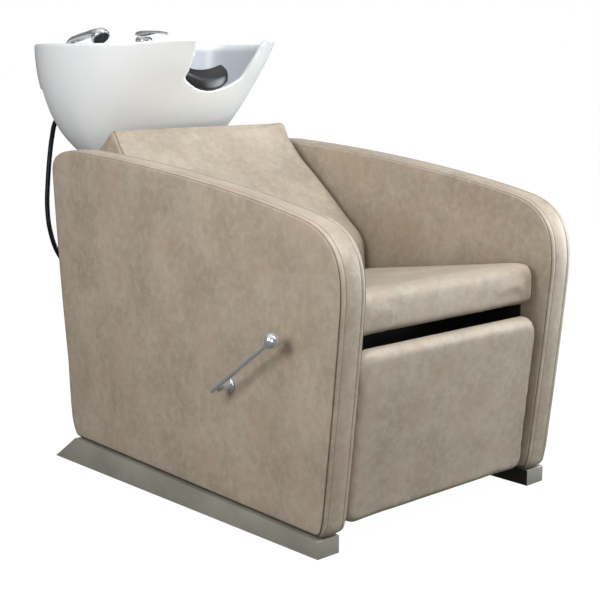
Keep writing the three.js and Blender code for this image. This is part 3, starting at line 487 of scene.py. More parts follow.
def catmull(points, steps):
    """A centripetal Catmull-Rom curve through the points."""
    points = np.asarray(points, float)
    padded = np.vstack([2 * points[0] - points[1], points, 2 * points[-1] - points[-2]])
    line = []
    for i in range(1, len(padded) - 2):
        p = padded[i - 1:i + 3]
        k = np.concatenate([[0], np.cumsum(np.linalg.norm(np.diff(p, axis=0), axis=1) ** 0.5)])
        for t in np.linspace(k[1], k[2], steps, endpoint=False):
            first = [
                (p[j] * (k[j + 1] - t) + p[j + 1] * (t - k[j])) / (k[j + 1] - k[j]) for j in range(3)]
            second = [
                (first[j] * (k[j + 2] - t) + first[j + 1] * (t - k[j])) / (k[j + 2] - k[j])
                for j in range(2)]
            line.append((second[0] * (k[2] - t) + second[1] * (t - k[1])) / (k[2] - k[1]))
    return np.vstack([line, points[-1:]])


def evaluated(obj):
    """Bakes an object's modifiers into its mesh."""
    depsgraph = bpy.context.evaluated_depsgraph_get()
    mesh = bpy.data.meshes.new_from_object(obj.evaluated_get(depsgraph))
    mesh.name = obj.name
    obj.modifiers.clear()
    obj.data = mesh


def coordinates(mesh, kind="co"):
    flat = np.zeros(len(mesh.vertices) * 3)
    mesh.vertices.foreach_get(kind, flat)
    return flat.reshape(-1, 3)


def set_coordinates(mesh, points):
    mesh.vertices.foreach_set("co", np.asarray(points, np.float32).ravel())
    mesh.update()


def normals(mesh):
    return coordinates(mesh, "normal")


def set_mark(mesh, name, values):
    mark = mesh.attributes.get(name) or mesh.attributes.new(name, "FLOAT", "POINT")
    mark.data.foreach_set("value", np.asarray(values, np.float32))


def remeshed(obj, voxel):
    step = obj.modifiers.new("remesh", "REMESH")
    step.mode = "VOXEL"
    step.voxel_size = voxel
    evaluated(obj)


def relaxed(obj, turns):
    step = obj.modifiers.new("smooth", "SMOOTH")
    step.iterations = turns
    step.factor = 0.5
    evaluated(obj)


CLOTH_PRESSURE = 4.0


def swollen(obj, voxel, cap, frames=20):
    """Fills a closed cover like foam, by a short cloth simulation under pressure.

    No point moves past the cap, which is in metres.
    """
    remeshed(obj, voxel)
    relaxed(obj, 3)
    rest = coordinates(obj.data)
    cloth = obj.modifiers.new("cloth", "CLOTH")
    cloth.settings.quality = 4
    cloth.settings.use_pressure = True
    cloth.settings.uniform_pressure_force = CLOTH_PRESSURE
    cloth.settings.effector_weights.gravity = 0.0
    cloth.settings.tension_stiffness = 25.0
    cloth.settings.compression_stiffness = 25.0
    cloth.point_cache.frame_start, cloth.point_cache.frame_end = 1, frames
    scene = bpy.context.scene
    for number in range(1, frames + 1):
        scene.frame_set(number)
    evaluated(obj)
    scene.frame_set(1)
    moved = coordinates(obj.data) - rest
    length = np.linalg.norm(moved, axis=1)[:, None]
    set_coordinates(obj.data, rest + moved * np.minimum(1.0, cap / np.maximum(length, 1e-9)))
    relaxed(obj, 6)
    finer = obj.modifiers.new("finer", "SUBSURF")
    finer.levels = finer.render_levels = 1
    evaluated(obj)


def local_cuts(mesh, near):
    """Subdivides only the edges whose two ends the test picks out."""
    picked = near(coordinates(mesh))
    work = bmesh.new()
    work.from_mesh(mesh)
    work.verts.ensure_lookup_table()
    edges = [e for e in work.edges if picked[e.verts[0].index] and picked[e.verts[1].index]]
    bmesh.ops.subdivide_edges(work, edges=edges, cuts=1, use_grid_fill=True)
    work.to_mesh(mesh)
    work.free()
    mesh.shade_smooth()


SEAM_DEPTH = 1.5
SEAM_WIDTH = 1.7
# How dark the painted shade along a seam's groove is.
PAINTED_SEAM_SHADE = 0.65
# How far in from a cushion's end its seam runs.
SEAM_INSET = 9
# Meshes are cut finer twice, first this near to the seam and then nearer.
SEAM_CUTS = (7.0, 4.5)


def sewn(obj, across):
    """Draws a seam into a padded piece where across(points in mm) is zero: a groove, and painted shade
    along the groove.
    """
    for reach in SEAM_CUTS:
        local_cuts(obj.data, lambda points, reach=reach: np.abs(across(millimetres(points))) < reach)
    points = coordinates(obj.data)
    off = across(millimetres(points))
    groove = np.exp(-(off / SEAM_WIDTH) ** 2)
    set_coordinates(obj.data, points - normals(obj.data) * (groove * SEAM_DEPTH * MM)[:, None])
    mark = np.zeros(len(points))
    if "painted_seam_shade" in obj.data.attributes:
        obj.data.attributes["painted_seam_shade"].data.foreach_get("value", mark)
    # Painted shade: a dark line along the seam's groove, kept where an earlier painted shade mark is
    # darker.
    line = PAINTED_SEAM_SHADE * np.exp(-(off / (0.75 * SEAM_WIDTH)) ** 2)
    set_mark(obj.data, "painted_seam_shade", np.maximum(mark, line))


# Which way the inner side of each rail faces; that side takes the black paint material instead of the
# steel.
INNER_SIDES = {"base_rail_left": 1, "base_rail_right": -1}


# Edges of hard parts that turn by more than this many degrees are broken.
SHARP_ANGLE = 32


def softened(node, width):
    """Makes a copy of a hard CAD part with its edges broken, which stands for it."""
    source = frame["nodes"][node]
    mesh = source.data.copy()
    mesh.name = node + "_finished"
    work = bmesh.new()
    work.from_mesh(mesh)
    bmesh.ops.remove_doubles(work, verts=work.verts, dist=1e-5)
    bmesh.ops.dissolve_limit(work, angle_limit=math.radians(1.0), verts=work.verts, edges=work.edges)
    limit = math.radians(SHARP_ANGLE)
    sharp = [e for e in work.edges if len(e.link_faces) == 2 and e.calc_face_angle(0) > limit]
    bmesh.ops.bevel(
        work, geom=sharp, offset=width * MM, segments=2, profile=0.6, affect="EDGES",
        clamp_overlap=True)
    work.to_mesh(mesh)
    work.free()
    made = bpy.data.objects.new(node + "_finished", mesh)
    bpy.context.scene.collection.objects.link(made)
    mesh.materials.clear()
    mesh.materials.append(SLOT_LOOKS[SLOT_OF[node]])
    settle(mesh, 35)
    if node in INNER_SIDES:
        mesh.materials.append(BLACK_PAINT)
        for face in mesh.polygons:
            face.material_index = int(face.normal.x * INNER_SIDES[node] > 0.9)
    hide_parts(node)
    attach(made, source["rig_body"])


# ---- shower hose

HOSE_RADIUS = 6.0
HOSE_RIB_DEPTH = 0.10
HOSE_RIB_PITCH = 5.0
HOSE_ROUTE = [
    (-115, 1090, 799.4), (-115, 1090, 790), (-121, 1108, 768), (-132, 1138, 735), (-134, 1151, 700),
    (-137, 1158, 660), (-141, 1164, 600), (-143, 1169, 530), (-138, 1168, 470), (-118, 1166, 410),
    (-80, 1164, 366), (-32, 1162, 348), (18, 1160, 364), (60, 1156, 412), (88, 1150, 490),
    (102, 1140, 580), (105, 1124, 670), (102, 1108, 750), (100, 1102, 815), (100, 1102, 829.4)]


# A ferrule's profile, in [radius, height above its foot] pairs.
FERRULE = [(6.3, 0), (7.6, 1), (7.6, 6), (7.1, 7), (7.6, 8), (7.6, 20), (6.3, 21)]
FERRULE_UPPER_Z = 792
FERRULE_LOWER_Z = 806


def ferrule(name, foot, x, y, body):
    sleeve = [(r, foot + z) for r, z in FERRULE]
    solid = turned([(0, foot), *sleeve, (0, foot + FERRULE[-1][1])], x, y)
    return piece(name, *solid, CHROME, body, "chrome", angle=50)


def build_hose():
    line = evenly(catmull(HOSE_ROUTE, 60), 1.0, closed=False)
    run = np.arange(len(line)) * 1.0
    ribs = HOSE_RADIUS - HOSE_RIB_DEPTH + HOSE_RIB_DEPTH * np.cos(run * 2 * math.pi / HOSE_RIB_PITCH)
    points, faces = tube(line, ribs, 16)
    hose = piece("hose", points, faces, HOSE, slot="rubber", replaces=["shower_hose"])
    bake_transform(hose)
    top = ferrule("hose_ferrule_upper", FERRULE_UPPER_Z, *DOCK, "handset")
    low = ferrule("hose_ferrule_lower", FERRULE_LOWER_Z, *HOSE_ROUTE[-1][:2], "basin")


build_hose()


# ---- arm panels

PANEL_GAP = 3


def over_rail(y):
    """Height of a panel's lower edge, just above the tapering rail."""
    return RAIL_HEIGHTS[0] + (RAIL_HEIGHTS[1] - RAIL_HEIGHTS[0]) * y / RAIL_SHOULDER + PANEL_GAP


PANEL_CURVES = [
    [(4, over_rail(4)), (-5, over_rail(0)), (-8, 52)],
    [(-8, 52), (-34, 262), (-49, 420)],
    [(-49, 420), (-57, 500), (-66, 580), (31, 611)],
    [(31, 611), (150, 640), (420, 680), (742, 695)],
    [(742, 695), (800, 697), (851, 690), (846, 645)],
    [(846, 645), (832, 420), (807, 230)],
    [(807, 230), (803, 130), (800, 80), (782, over_rail(782))],
]
# Half of the cover's section, from the face's seam to the middle of the band: how far across the panel, how
# deep inside its outline, and how much painted shade darkens the seam there.
PANEL_SECTION = [
    (31.2, 2.6, 0.0), (30.6, 3.5, 0.8), (30.1, 4.2, 1.0), (29.6, 3.8, 1.0), (28.9, 2.2, 0.35),
    (28.0, 1.0, 0.0), (26.6, 0.3, 0.0), (24.0, 0.0, 0.0), (20.4, 0.1, 0.0), (19.5, 0.5, 0.12),
    (18.6, 0.1, 0.0), (17.0, -0.3, 0.0), (14.0, -0.7, 0.0), (10.0, -1.1, 0.0), (5.2, -1.4, 0.0),
    (0.0, -1.5, 0.0),
]
# Near the rail the cover's corners are drawn in: from this height, by this much.
TUCK_HEIGHT = 45
TUCK_DEPTH = 4
# A face's points: their spacing, how clear of its seam they stay, and a line that follows the seam.
FACE_GRID = 9.0
FACE_CLEAR = 4.5
FACE_LINE = 3.0
FACE_LINE_CLEAR = 2.5
# A face's padding: its height, how fast it rolls down to the seam, and its unevenness.
FACE_LIFT = 1.5
FACE_ROLL = 7.0
FACE_WAVE = 0.5
FACE_WAVE_SCALE = 0.011
FACE_WAVE_MARGIN = 60
STITCH_ACROSS = 19.5
STITCH_PITCH = 6.0


def panel_outline(step):
    line = np.vstack([bezier(curve, 40)[:-1] for curve in PANEL_CURVES] + [[PANEL_CURVES[-1][-1]]])
    line = evenly(line, 2.0)
    for _ in range(30):
        line = line / 2 + (np.roll(line, 1, 0) + np.roll(line, -1, 0)) / 4
    return evenly(line, step)


def panel_ring(outline, side, across, depth):
    """One line round the panel: so far across its thickness and so deep inside its outline."""
    under = smoothstep(1 - (outline[:, 1] - over_rail(outline[:, 0])) / TUCK_HEIGHT)
    drop = depth + under * TUCK_DEPTH * abs(across / PANEL_HALF) ** 5
    flat = outline + inward(outline) * np.reshape(drop, (-1, 1))
    return np.column_stack([np.full(len(flat), side * (PANEL_MIDDLE + across)), flat])


def padded_face(ring, first, count, outward, seed):
    """Fills one face of a panel inside its seam: nearly flat, rolling down to the seam, faintly uneven."""
    loop = ring[:, 1:]
    low, high = loop.min(0), loop.max(0)
    columns, heights = (np.arange(low[k], high[k], FACE_GRID) for k in (0, 1))
    grid = np.stack(np.meshgrid(columns, heights), -1).reshape(-1, 2)
    grid = grid[inside(grid, loop)]
    grid = grid[distance_to(grid, loop) > FACE_CLEAR]
    line = loop + inward(loop) * FACE_LINE
    line = line[inside(line, loop)]
    grid = np.vstack([grid, line[distance_to(line, loop) > FACE_LINE_CLEAR]])
    near = distance_to(grid, loop)
    loop_size = len(loop)
    both = [Vector(p) for p in np.vstack([loop, grid])]
    round_loop = [(i, (i + 1) % loop_size) for i in range(loop_size)]
    outer = [list(range(loop_size))]
    _, _, triangles, origin, _, _ = delaunay_2d_cdt(both, round_loop, outer, 1, 1e-4)
    where = [o[0] if o else None for o in origin]
    faces = []
    for triangle in triangles:
        corners = [where[i] for i in triangle]
        faces.append(tuple(first + c if c < loop_size else count + c - loop_size for c in corners))
    wave = np.array([
        noise.noise(Vector((p[0] * FACE_WAVE_SCALE, p[1] * FACE_WAVE_SCALE, seed))) for p in grid])
    lift = FACE_LIFT * (1 - np.exp(-near / FACE_ROLL))
    lift = lift + FACE_WAVE * wave * smoothstep(near / FACE_WAVE_MARGIN)
    x = ring[0, 0] + outward * lift
    return np.column_stack([x, grid]), faces


def build_arm(side, word):
    outline = panel_outline(PANEL_STEP)
    section = PANEL_SECTION + [(-u, d, s) for u, d, s in PANEL_SECTION[-2::-1]]
    rings = [panel_ring(outline, side, u, d) for u, d, _ in section]
    size = len(outline)
    points, faces = loft(rings, caps=False)
    points = np.array(points)
    # Painted shade in the gap over the rail: within 10 mm of the panel's lower edge, the rows by each
    # face's seam are fully darkened.
    low = smoothstep(1 - (outline[:, 1] - over_rail(outline[:, 0])) / 10)
    painted_seam_shade = np.concatenate([np.maximum(s, low * (abs(u) > 27)) for u, _, s in section])
    for ring, first, outward in ((rings[0], 0, side), (rings[-1], (len(rings) - 1) * size, -side)):
        added, more = padded_face(ring, first, len(points), outward, 3.7 * side + first * 1e-3)
        points = np.vstack([points, added])
        faces += more
    marks = {"painted_seam_shade": np.pad(painted_seam_shade, (0, len(points) - len(painted_seam_shade)))}
    arm = piece(f"arm_{word}", points, faces, LEATHER, "chair", "leather",
                [f"side_panel_{word}"], marks=marks)
    fine = panel_outline(STITCH_PITCH / 6)
    fine = fine[: len(fine) // 6 * 6]
    phase = np.abs(np.sin(np.arange(len(fine)) * math.pi / 6))
    for label, across in (("outer", STITCH_ACROSS), ("inner", -STITCH_ACROSS)):
        line = panel_ring(fine, side, across, 0.95 - 1.25 * phase ** 0.7)
        line = np.vstack([line, line[:1]])
        thread = tube(line, 0.45, 5)
        piece(f"topstitch_{word}_{label}", *thread, THREAD, "chair", "leather")


build_arm(-1, "left")
build_arm(1, "right")


# ---- cushions

# Spacing of a cushion's points along its straight middle.
CUSHION_STEP = 12.0


def cushion(profile, half, edge):
    """A closed form with the given side view, its two ends rounded."""
    profile = np.asarray(profile)
    into = inward(profile)
    turn = np.linspace(0, math.pi / 2, 6)
    ends = [(half - edge + edge * math.sin(t), edge * (1 - math.cos(t))) for t in turn]
    spans = np.linspace(-(half - edge), half - edge, int(2 * (half - edge) / CUSHION_STEP))
    stations = [(-x, inset) for x, inset in reversed(ends)]
    stations += [(x, 0.0) for x in spans[1:-1]] + ends
    rings = []
    for x, inset in stations:
        flat = profile + into * inset
        rings.append(np.column_stack([np.full(len(flat), x), flat]))
    return loft(rings)


def build_seat():
    profile = filleted([(-21, 402, 11), (446, 339, 12), (446, 416, 16), (-21, 483, 26)], 4.0)
    seat = piece("seat", *cushion(profile, SEAT_HALF - 1.0, 16), LEATHER_SEAT)
    swollen(seat, 0.005, 0.003)
    sewn(seat, lambda p: np.abs(p[:, 0]) - (SEAT_HALF - SEAM_INSET))
    finish_cushion(seat, "chair", "seat_cushion")


def back_profile():
    front = list(bezier([(660, 657), (592, 608), (528, 552)], 8))
    front += list(bezier([(528, 552), (470, 500), (458, 470)], 8))[1:]
    corners = [(454, 424, 12), (454, 356, 8), (478, 356, 6), (517, 419, 10), (755, 637, 8), (834, 637, 6),
               (834, 658, 8), (731, 744, 5), (702, 700, 25)]
    corners += [(u, v, 0.1) for u, v in front]
    return filleted(corners, 5.0)


def build_back():
    back = piece("back", *cushion(back_profile(), BACK_HALF - 1.5, 6), LEATHER_SEAT)
    swollen(back, 0.005, 0.004)
    sewn(back, lambda p: np.abs(p[:, 0]) - (BACK_HALF - SEAM_INSET))
    finish_cushion(back, "chair", "back_cushion")


# The leg rest: its corners' radii seen from the front, how broadly its edges roll, points a ring.
LEG_CORNER_FOOT, LEG_CORNER_HEAD = 24.0, 42.0
LEG_ROLL_SIDE, LEG_ROLL_FOOT, LEG_ROLL_HEAD = 7.0, 5.0, 18.0
LEG_RING_POINTS = 340


def leg_point(height, depth):
    """How far back the leaning leg rest is at a height, so deep behind its face."""
    share = (LEG_FOOT[0] - LEG_TOP[0]) * (LEG_TOP[1] - height) / (LEG_TOP[1] - LEG_FOOT[1])
    return LEG_TOP[0] + share + depth


def roll_inset(depth, radius):
    """How far a rounded edge has drawn in at a depth behind the face."""
    return radius * (1 - math.sqrt(1 - (1 - min(depth, radius) / radius) ** 2))


def build_leg_rest():
    """A slab with a broad roll along its top, tighter at its sides and foot, leaning back to its foot."""
    rings = []
    for depth in (0.0, 0.5, 1.6, 3.5, 6.0, 9.0, 13.0, 18.0, 24.0, 30.0):
        half = LEG_HALF - 1.5 - roll_inset(depth, LEG_ROLL_SIDE)
        low = LEG_FOOT[1] + roll_inset(depth, LEG_ROLL_FOOT)
        high = LEG_TOP[1] - 2 - roll_inset(depth, LEG_ROLL_HEAD)
        flat = filleted([
            (-half, low, LEG_CORNER_FOOT), (half, low, LEG_CORNER_FOOT),
            (half, high, LEG_CORNER_HEAD), (-half, high, LEG_CORNER_HEAD)], 4.0)
        rings.append([(x, leg_point(z, depth), z) for x, z in resized(flat, LEG_RING_POINTS)])
    pad = piece("leg_pad", *loft(rings), LEATHER_SEAT)
    swollen(pad, 0.005, 0.003, frames=14)
    finish_cushion(pad, "leg_rest", "legrest_cushion")


def resized(loop, count):
    """A closed outline with exactly this many points."""
    closed = np.vstack([loop, loop[:1]])
    run = np.concatenate([[0], np.cumsum(np.linalg.norm(np.diff(closed, axis=0), axis=1))])
    marks = np.linspace(0, run[-1], count + 1)[:-1]
    return np.column_stack([np.interp(marks, run, closed[:, k]) for k in (0, 1)])


def finish_cushion(obj, body, node):
    obj.data.shade_smooth()
    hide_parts(node)
    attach(obj, body)


build_seat()
build_back()
build_leg_rest()


# ---- basin

BASIN_HALF, BASIN_FRONT, BASIN_REAR = 250, 335, 275
BASIN_DEPTH = 290
BOWL_HALF, BOWL_FRONT, BOWL_REAR = 236, 313, 120
BOWL_DEPTH = 268
# The depth at which each wall would close to a point.
BASIN_CLOSES = 310
BOWL_CLOSES = 268
# The front walls lean back this far over this drop.
LEAN_RUN, LEAN_DROP = 320, 310
RING_POINTS = 200
RING_LAYERS = 40
# The tap ledge: where it begins, its top and underside.
LEDGE_Y = 1056
LEDGE_TOP, LEDGE_UNDER = 905, 885
BELOW_BASIN = 600
# The neck dip: its floor's ends, its lowest control point, and its flanks.
DIP_HALF, DIP_Z, DIP_FLOOR_Z = 80, 846, 790
DIP_FLARE = (81, 884)
DIP_RIM_HALF = 98
# The wings rise forward of this y, over this run, and above this height, over this climb.
WING_Y, WING_RUN = 745, 110
WING_Z, WING_CLIMB = 860, 60


def bend(value, power):
    return np.sign(value) * np.abs(value) ** power


def basin_ring(centre, half, front, rear, z):
    """A level superellipse whose front and rear reaches differ."""
    turn = circle(RING_POINTS)
    across, along = bend(np.cos(turn), 2 / BASIN_POWER), bend(np.sin(turn), 2 / BASIN_POWER)
    y = centre + np.where(along > 0, rear, front) * along
    return np.column_stack([half * across, y, np.full(RING_POINTS, z)])


def drawn_in(depth, whole):
    return max(1 - (depth / whole) ** BASIN_POWER, 0) ** (1 / BASIN_POWER)


def bowl_skin(centre, half, front, rear, deepest, whole):
    """Rings of a bowl from its deepest level up to the rim."""
    rings = []
    for i in range(RING_LAYERS + 1):
        depth = deepest * math.sin((1 - i / RING_LAYERS) * math.pi / 2)
        part = drawn_in(depth, whole)
        reach = front - depth * LEAN_RUN / LEAN_DROP
        rings.append(basin_ring(centre, half * part, reach, rear * part, RIM_Z - depth))
    return rings


def cut_by(obj, cutters):
    for cutter in cutters:
        step = obj.modifiers.new("cut", "BOOLEAN")
        step.operation, step.object, step.solver = "DIFFERENCE", cutter, "EXACT"
    evaluated(obj)
    for cutter in cutters:
        bpy.data.objects.remove(cutter)


def cylinder(radius, x, y, low, high):
    return piece("cutter", *turned([(radius, low), (radius, high)], x, y), CERAMIC)


def ledge_cutter(wall, low, high):
    """Everything behind the tap ledge's front, so far inside the basin's outline."""
    ring = basin_ring(BASIN_Y, BASIN_HALF - wall, BASIN_FRONT, BASIN_REAR - wall, 0)
    ring = ring[ring[:, 1] > LEDGE_Y]
    flat = np.vstack([ring[:, :2], [[ring[-1, 0], LEDGE_Y], [ring[0, 0], LEDGE_Y]]])
    return piece("cutter", *loft([[(x, y, z) for x, y in flat] for z in (low, high)]), CERAMIC)


def neck_cutter():
    floor = bezier([(-DIP_HALF, DIP_Z), (0, DIP_FLOOR_Z), (DIP_HALF, DIP_Z)], 24)
    flank = bezier([(DIP_HALF, DIP_Z), DIP_FLARE, (DIP_RIM_HALF, RIM_Z)], 12)[1:]
    above = (DIP_RIM_HALF + 10, RIM_Z + 30)
    flat = [(-above[0], above[1])] + [(-x, z) for x, z in flank[::-1]] + [tuple(p) for p in floor]
    flat += [tuple(p) for p in flank] + [above]
    return piece("cutter", *loft([[(x, y, z) for x, z in flat] for y in (520, 800)]), CERAMIC)


def painted_bowl_shade(points, outward):
    """How much painted shade each point takes inside the bowl: it faces the bowl's middle or up, below the
    rim.
    """
    away = points[:, :2] - np.array([0.0, BOWL_Y])
    facing = -(outward[:, :2] * away).sum(1) / np.maximum(np.linalg.norm(away, axis=1), 1.0)
    return smoothstep(1.5 * (facing + outward[:, 2])) * smoothstep((RIM_Z - 4 - points[:, 2]) / 16)


def build_basin():
    hull = bowl_skin(BASIN_Y, BASIN_HALF, BASIN_FRONT, BASIN_REAR, BASIN_DEPTH, BASIN_CLOSES)
    basin = piece("basin", *loft(hull), CERAMIC)
    hollow = bowl_skin(BOWL_Y, BOWL_HALF, BOWL_FRONT, BOWL_REAR, BOWL_DEPTH * 0.985, BOWL_CLOSES)
    hollow.append(hollow[-1] + np.array([0, 0, 20]))
    cut_by(basin, [
        piece("cutter", *loft(hollow), CERAMIC), neck_cutter(),
        ledge_cutter(18, LEDGE_TOP, RIM_Z + 20), ledge_cutter(16, BELOW_BASIN, LEDGE_UNDER),
        ledge_cutter(-5, BELOW_BASIN, SKIRT_Z),
        cylinder(33, 0, BASIN_Y, 656, 700), cylinder(22, 0, BASIN_Y, BELOW_BASIN, 700),
        cylinder(17, *MIXER, 860, 930), cylinder(13.5, *DOCK, 860, 930)])
    remeshed(basin, 0.003)
    relaxed(basin, 24)
    points = millimetres(coordinates(basin.data))
    forward = smoothstep((WING_Y - points[:, 1]) / WING_RUN)
    points[:, 2] += WING_RISE * (forward * smoothstep((points[:, 2] - WING_Z) / WING_CLIMB))
    set_coordinates(basin.data, rows(points))
    # Painted shade: the inner mark darkens the glaze inside the bowl.
    set_mark(basin.data, "inner", painted_bowl_shade(points, normals(basin.data)))
    basin.data.shade_smooth()
    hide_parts("basin_bowl")
    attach(basin, "basin")


# The neck pad: at its middle, and by how much each value grows towards its ends.
PAD_HALF = 61.0
PAD_LOW, PAD_LOW_GROWS = 816, 19
PAD_HIGH, PAD_HIGH_GROWS = 869, 12
PAD_FRONT, PAD_FRONT_GROWS = 701, 9
PAD_REAR = 741.0
# By how much of its height the pad's top has come down at its front.
PAD_SLOPE = 0.38


def build_neck_rest():
    """A saddle-shaped gel pad: its hollow top slopes down to a front that bulges over the dip's lip."""
    rings = []
    for x in np.linspace(-PAD_HALF, PAD_HALF, 61):
        part = abs(x) / PAD_HALF
        end = max(1 - part ** 16, 0.0) ** (1 / 16)
        low, high = PAD_LOW + PAD_LOW_GROWS * part ** 2, PAD_HIGH + PAD_HIGH_GROWS * part ** 2
        front, rear = PAD_FRONT + PAD_FRONT_GROWS * part ** 2, PAD_REAR
        ring = []
        for t in circle(48):
            across, up = bend(math.cos(t), 0.55) * end, bend(math.sin(t), 0.55) * end
            tall = (high - low) * (1 - PAD_SLOPE / 2 * (1 - across))
            ring.append((x, (front + rear) / 2 + (rear - front) / 2 * across, low + tall * (1 + up) / 2))
        rings.append(ring)
    piece("neck_pad", *loft(rings), RUBBER, "basin", "rubber", ["neck_rest"])


build_basin()
build_neck_rest()


# ---- taps

def turned_along(profile, origin, axis, sides=40):
    """A body of revolution about any axis, from [radius, distance along] pairs."""
    axis = np.array(axis, float) / np.linalg.norm(axis)
    side = np.cross(axis, [1.0, 0.2, 0.1])
    side /= np.linalg.norm(side)
    other = np.cross(axis, side)
    rings = []
    for r, s in profile:
        centre = np.array(origin, float) + axis * s
        rings.append([centre + r * (math.cos(t) * side + math.sin(t) * other) for t in circle(sides)])
    return loft(rings)


def build_mixer():
    body = turned([
        (0, 852), (14.6, 852), (14.6, 905.3), (24.2, 905.3), (25, 906), (25, 908.4), (24, 909.4),
        (22.6, 910.6), (21.6, 914), (21.2, 920), (21.2, 928.6), (20.6, 929.6), (0, 929.6)], *MIXER)
    piece("mixer_barrel", *body, CHROME, "basin", "chrome", ["mixer_body"], angle=50)
    cap = turned([
        (0, 930.2), (20.4, 930.2), (21.2, 931.2), (21.1, 934), (20.2, 937.6), (18, 940.4), (14, 942),
        (0, 942.4)], *MIXER)
    piece("mixer_dome", *cap, CHROME, "mixer_swivel", "chrome", ["mixer_cap"], angle=50)
    # The handle's sections, rear to front: y, z, half width, half thickness.
    stations = [
        (1108.5, 948.4, 7, 1.6), (1107, 948.6, 10.5, 3.6), (1103, 949.2, 12.6, 5.2),
        (1095, 949.9, 13.6, 6.1), (1082, 950.4, 14.0, 6.3), (1068, 951.2, 13.8, 5.4),
        (1052, 952.6, 13.2, 3.9), (1034, 953.0, 12.6, 2.9), (1014, 951.6, 12.2, 2.5),
        (1000, 949.6, 11.6, 2.3), (994, 948.5, 10.0, 2.0), (991.5, 948.0, 6.5, 1.2)]
    rings = []
    for y, z, half, thick in stations:
        ring = []
        for t in circle(36):
            ring.append((MIXER[0] + half * bend(math.cos(t), 0.6), y, z + thick * bend(math.sin(t), 0.75)))
        rings.append(ring)
    piece("mixer_paddle", *loft(rings), CHROME, "mixer_handle", "chrome", ["mixer_lever"], angle=60)


def build_handset():
    """Hand shower lying forward from its dock: a tapering grip that swells into the head."""
    spine = catmull([
        (1090, 915.5), (1090, 920), (1079, 930), (1052, 936), (1012, 942.5), (978, 946), (962, 944)], 8)
    run = np.linspace(0, 1, len(spine))
    stops = [0, 0.12, 0.35, 0.7, 0.86, 0.95, 1.0]
    width = np.interp(run, stops, [8.5, 9.5, 9.0, 11.0, 18.0, 19.5, 13.0])
    thick = np.interp(run, stops, [8.5, 9.0, 8.0, 8.8, 11.0, 11.5, 7.0])
    along = np.gradient(spine, axis=0)
    along /= np.linalg.norm(along, axis=1)[:, None]
    rings = []
    for (y, z), (dy, dz), w, h in zip(spine, along, width, thick):
        ring = []
        for t in circle(36):
            side, up = w * math.cos(t), h * math.sin(t)
            ring.append((DOCK[0] + side, y + dz * up, z - dy * up))
        rings.append(ring)
    body = piece("handset_shell", *loft(rings), CHROME)
    tip = math.radians(42)
    face_axis = (0, -math.sin(tip), -math.cos(tip))
    origin = (DOCK[0], 966, 945)
    bell = [(0, -4), (16, -4), (20.5, 2), (22.4, 8), (22.0, 13), (20.6, 14.2), (0, 14.2)]
    bell = turned_along(bell, origin, face_axis)
    piece("handset_bell", *bell, CHROME, "handset", "chrome", angle=50)
    finer = body.modifiers.new("finer", "SUBSURF")
    finer.levels = finer.render_levels = 1
    evaluated(body)
    body.data.shade_smooth()
    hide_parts("handset_body")
    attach(body, "handset")
    rose = [(0, 13), (18.4, 13), (18.8, 14.4), (18.0, 15.6), (12, 16.2), (0, 16.4)]
    rose = turned_along(rose, origin, face_axis)
    piece("spray_rose", *rose, PLASTIC, "handset", "plastic", ["spray_face"], angle=50)
    axis = np.array(face_axis)
    side = np.array([1.0, 0.0, 0.0])
    other = np.cross(axis, side)
    jet_profile = [(0, 15), (1.0, 15), (0.9, 17.2), (0.5, 17.7), (0, 17.7)]
    for radius, number in ((5.5, 6), (10.5, 12), (15.3, 18)):
        for i in range(number):
            turn = 2 * math.pi * i / number
            foot = np.array(origin) + radius * (math.cos(turn) * side + math.sin(turn) * other)
            jet = turned_along(jet_profile, foot, face_axis, 8)
            piece(f"jet_{number}_{i}", *jet, RUBBER, "handset", "rubber")


def build_dock():
    # The profile closes on itself, so the two end caps that turned adds are left off.
    points, faces = turned([
        (8.2, 861), (12.8, 861), (12.8, 905.3), (19.2, 905.3), (20, 906), (20, 907.4), (19, 908.6),
        (16, 910.4), (15, 912.6), (13.6, 913.8), (9, 914), (8.2, 913.2), (8.2, 861)], *DOCK)
    piece("dock_collar", points, faces[:-2], CHROME, "basin", "chrome", ["shower_holder"], angle=50)


build_mixer()
build_handset()
build_dock()


# ---- side lever

def build_lever():
    rise = math.radians(36)
    axis = (0, -math.cos(rise), math.sin(rise))
    origin = (LEVER_ROD_X, *LEVER)
    rod = [
        (0, -18), (1.6, -17.8), (3.2, -16.8), (4.2, -15.2), (4.6, -13), (4.6, 0), (4.3, 60), (3.9, 150),
        (3.8, 176), (0, 176)]
    piece("lever_bar", *turned_along(rod, origin, axis), CHROME, "lever", "chrome", ["lever_rod"], angle=50)
    ball = [(0, 176.5), (5.4, 176.5), (5.8, 177.4), (5.8, 180.4), (5.2, 181.6), (5.0, 182.9)]
    ball += [(15 * math.sin(t), 197 - 15 * math.cos(t)) for t in np.linspace(0.36, math.pi, 28)]
    ball = turned_along(ball, origin, axis, 56)
    piece("lever_ball", *ball, CHROME, "lever", "chrome", ["lever_knob"], angle=50)
    hub = [
        (0, -360.4), (7.6, -360.4), (8.5, -359.6), (8.5, -345), (8.9, -343.6), (8.9, -331.5),
        (0, -331.5)]
    hub = turned_along(hub, (0, *LEVER), (1, 0, 0))
    piece("lever_boss", *hub, CHROME, "lever", "chrome", ["lever_hub"], angle=50)
    plate = [(13.2, -331.2), (14, -332), (13.8, -333.6), (12, -335.4), (9.3, -336), (9.3, -331.8)]
    points, faces = turned_along(plate, (0, *LEVER), (1, 0, 0))
    piece("lever_escutcheon", points, faces[:-2], CHROME, "chair", "chrome", angle=50)


build_lever()


# ---- hard CAD parts

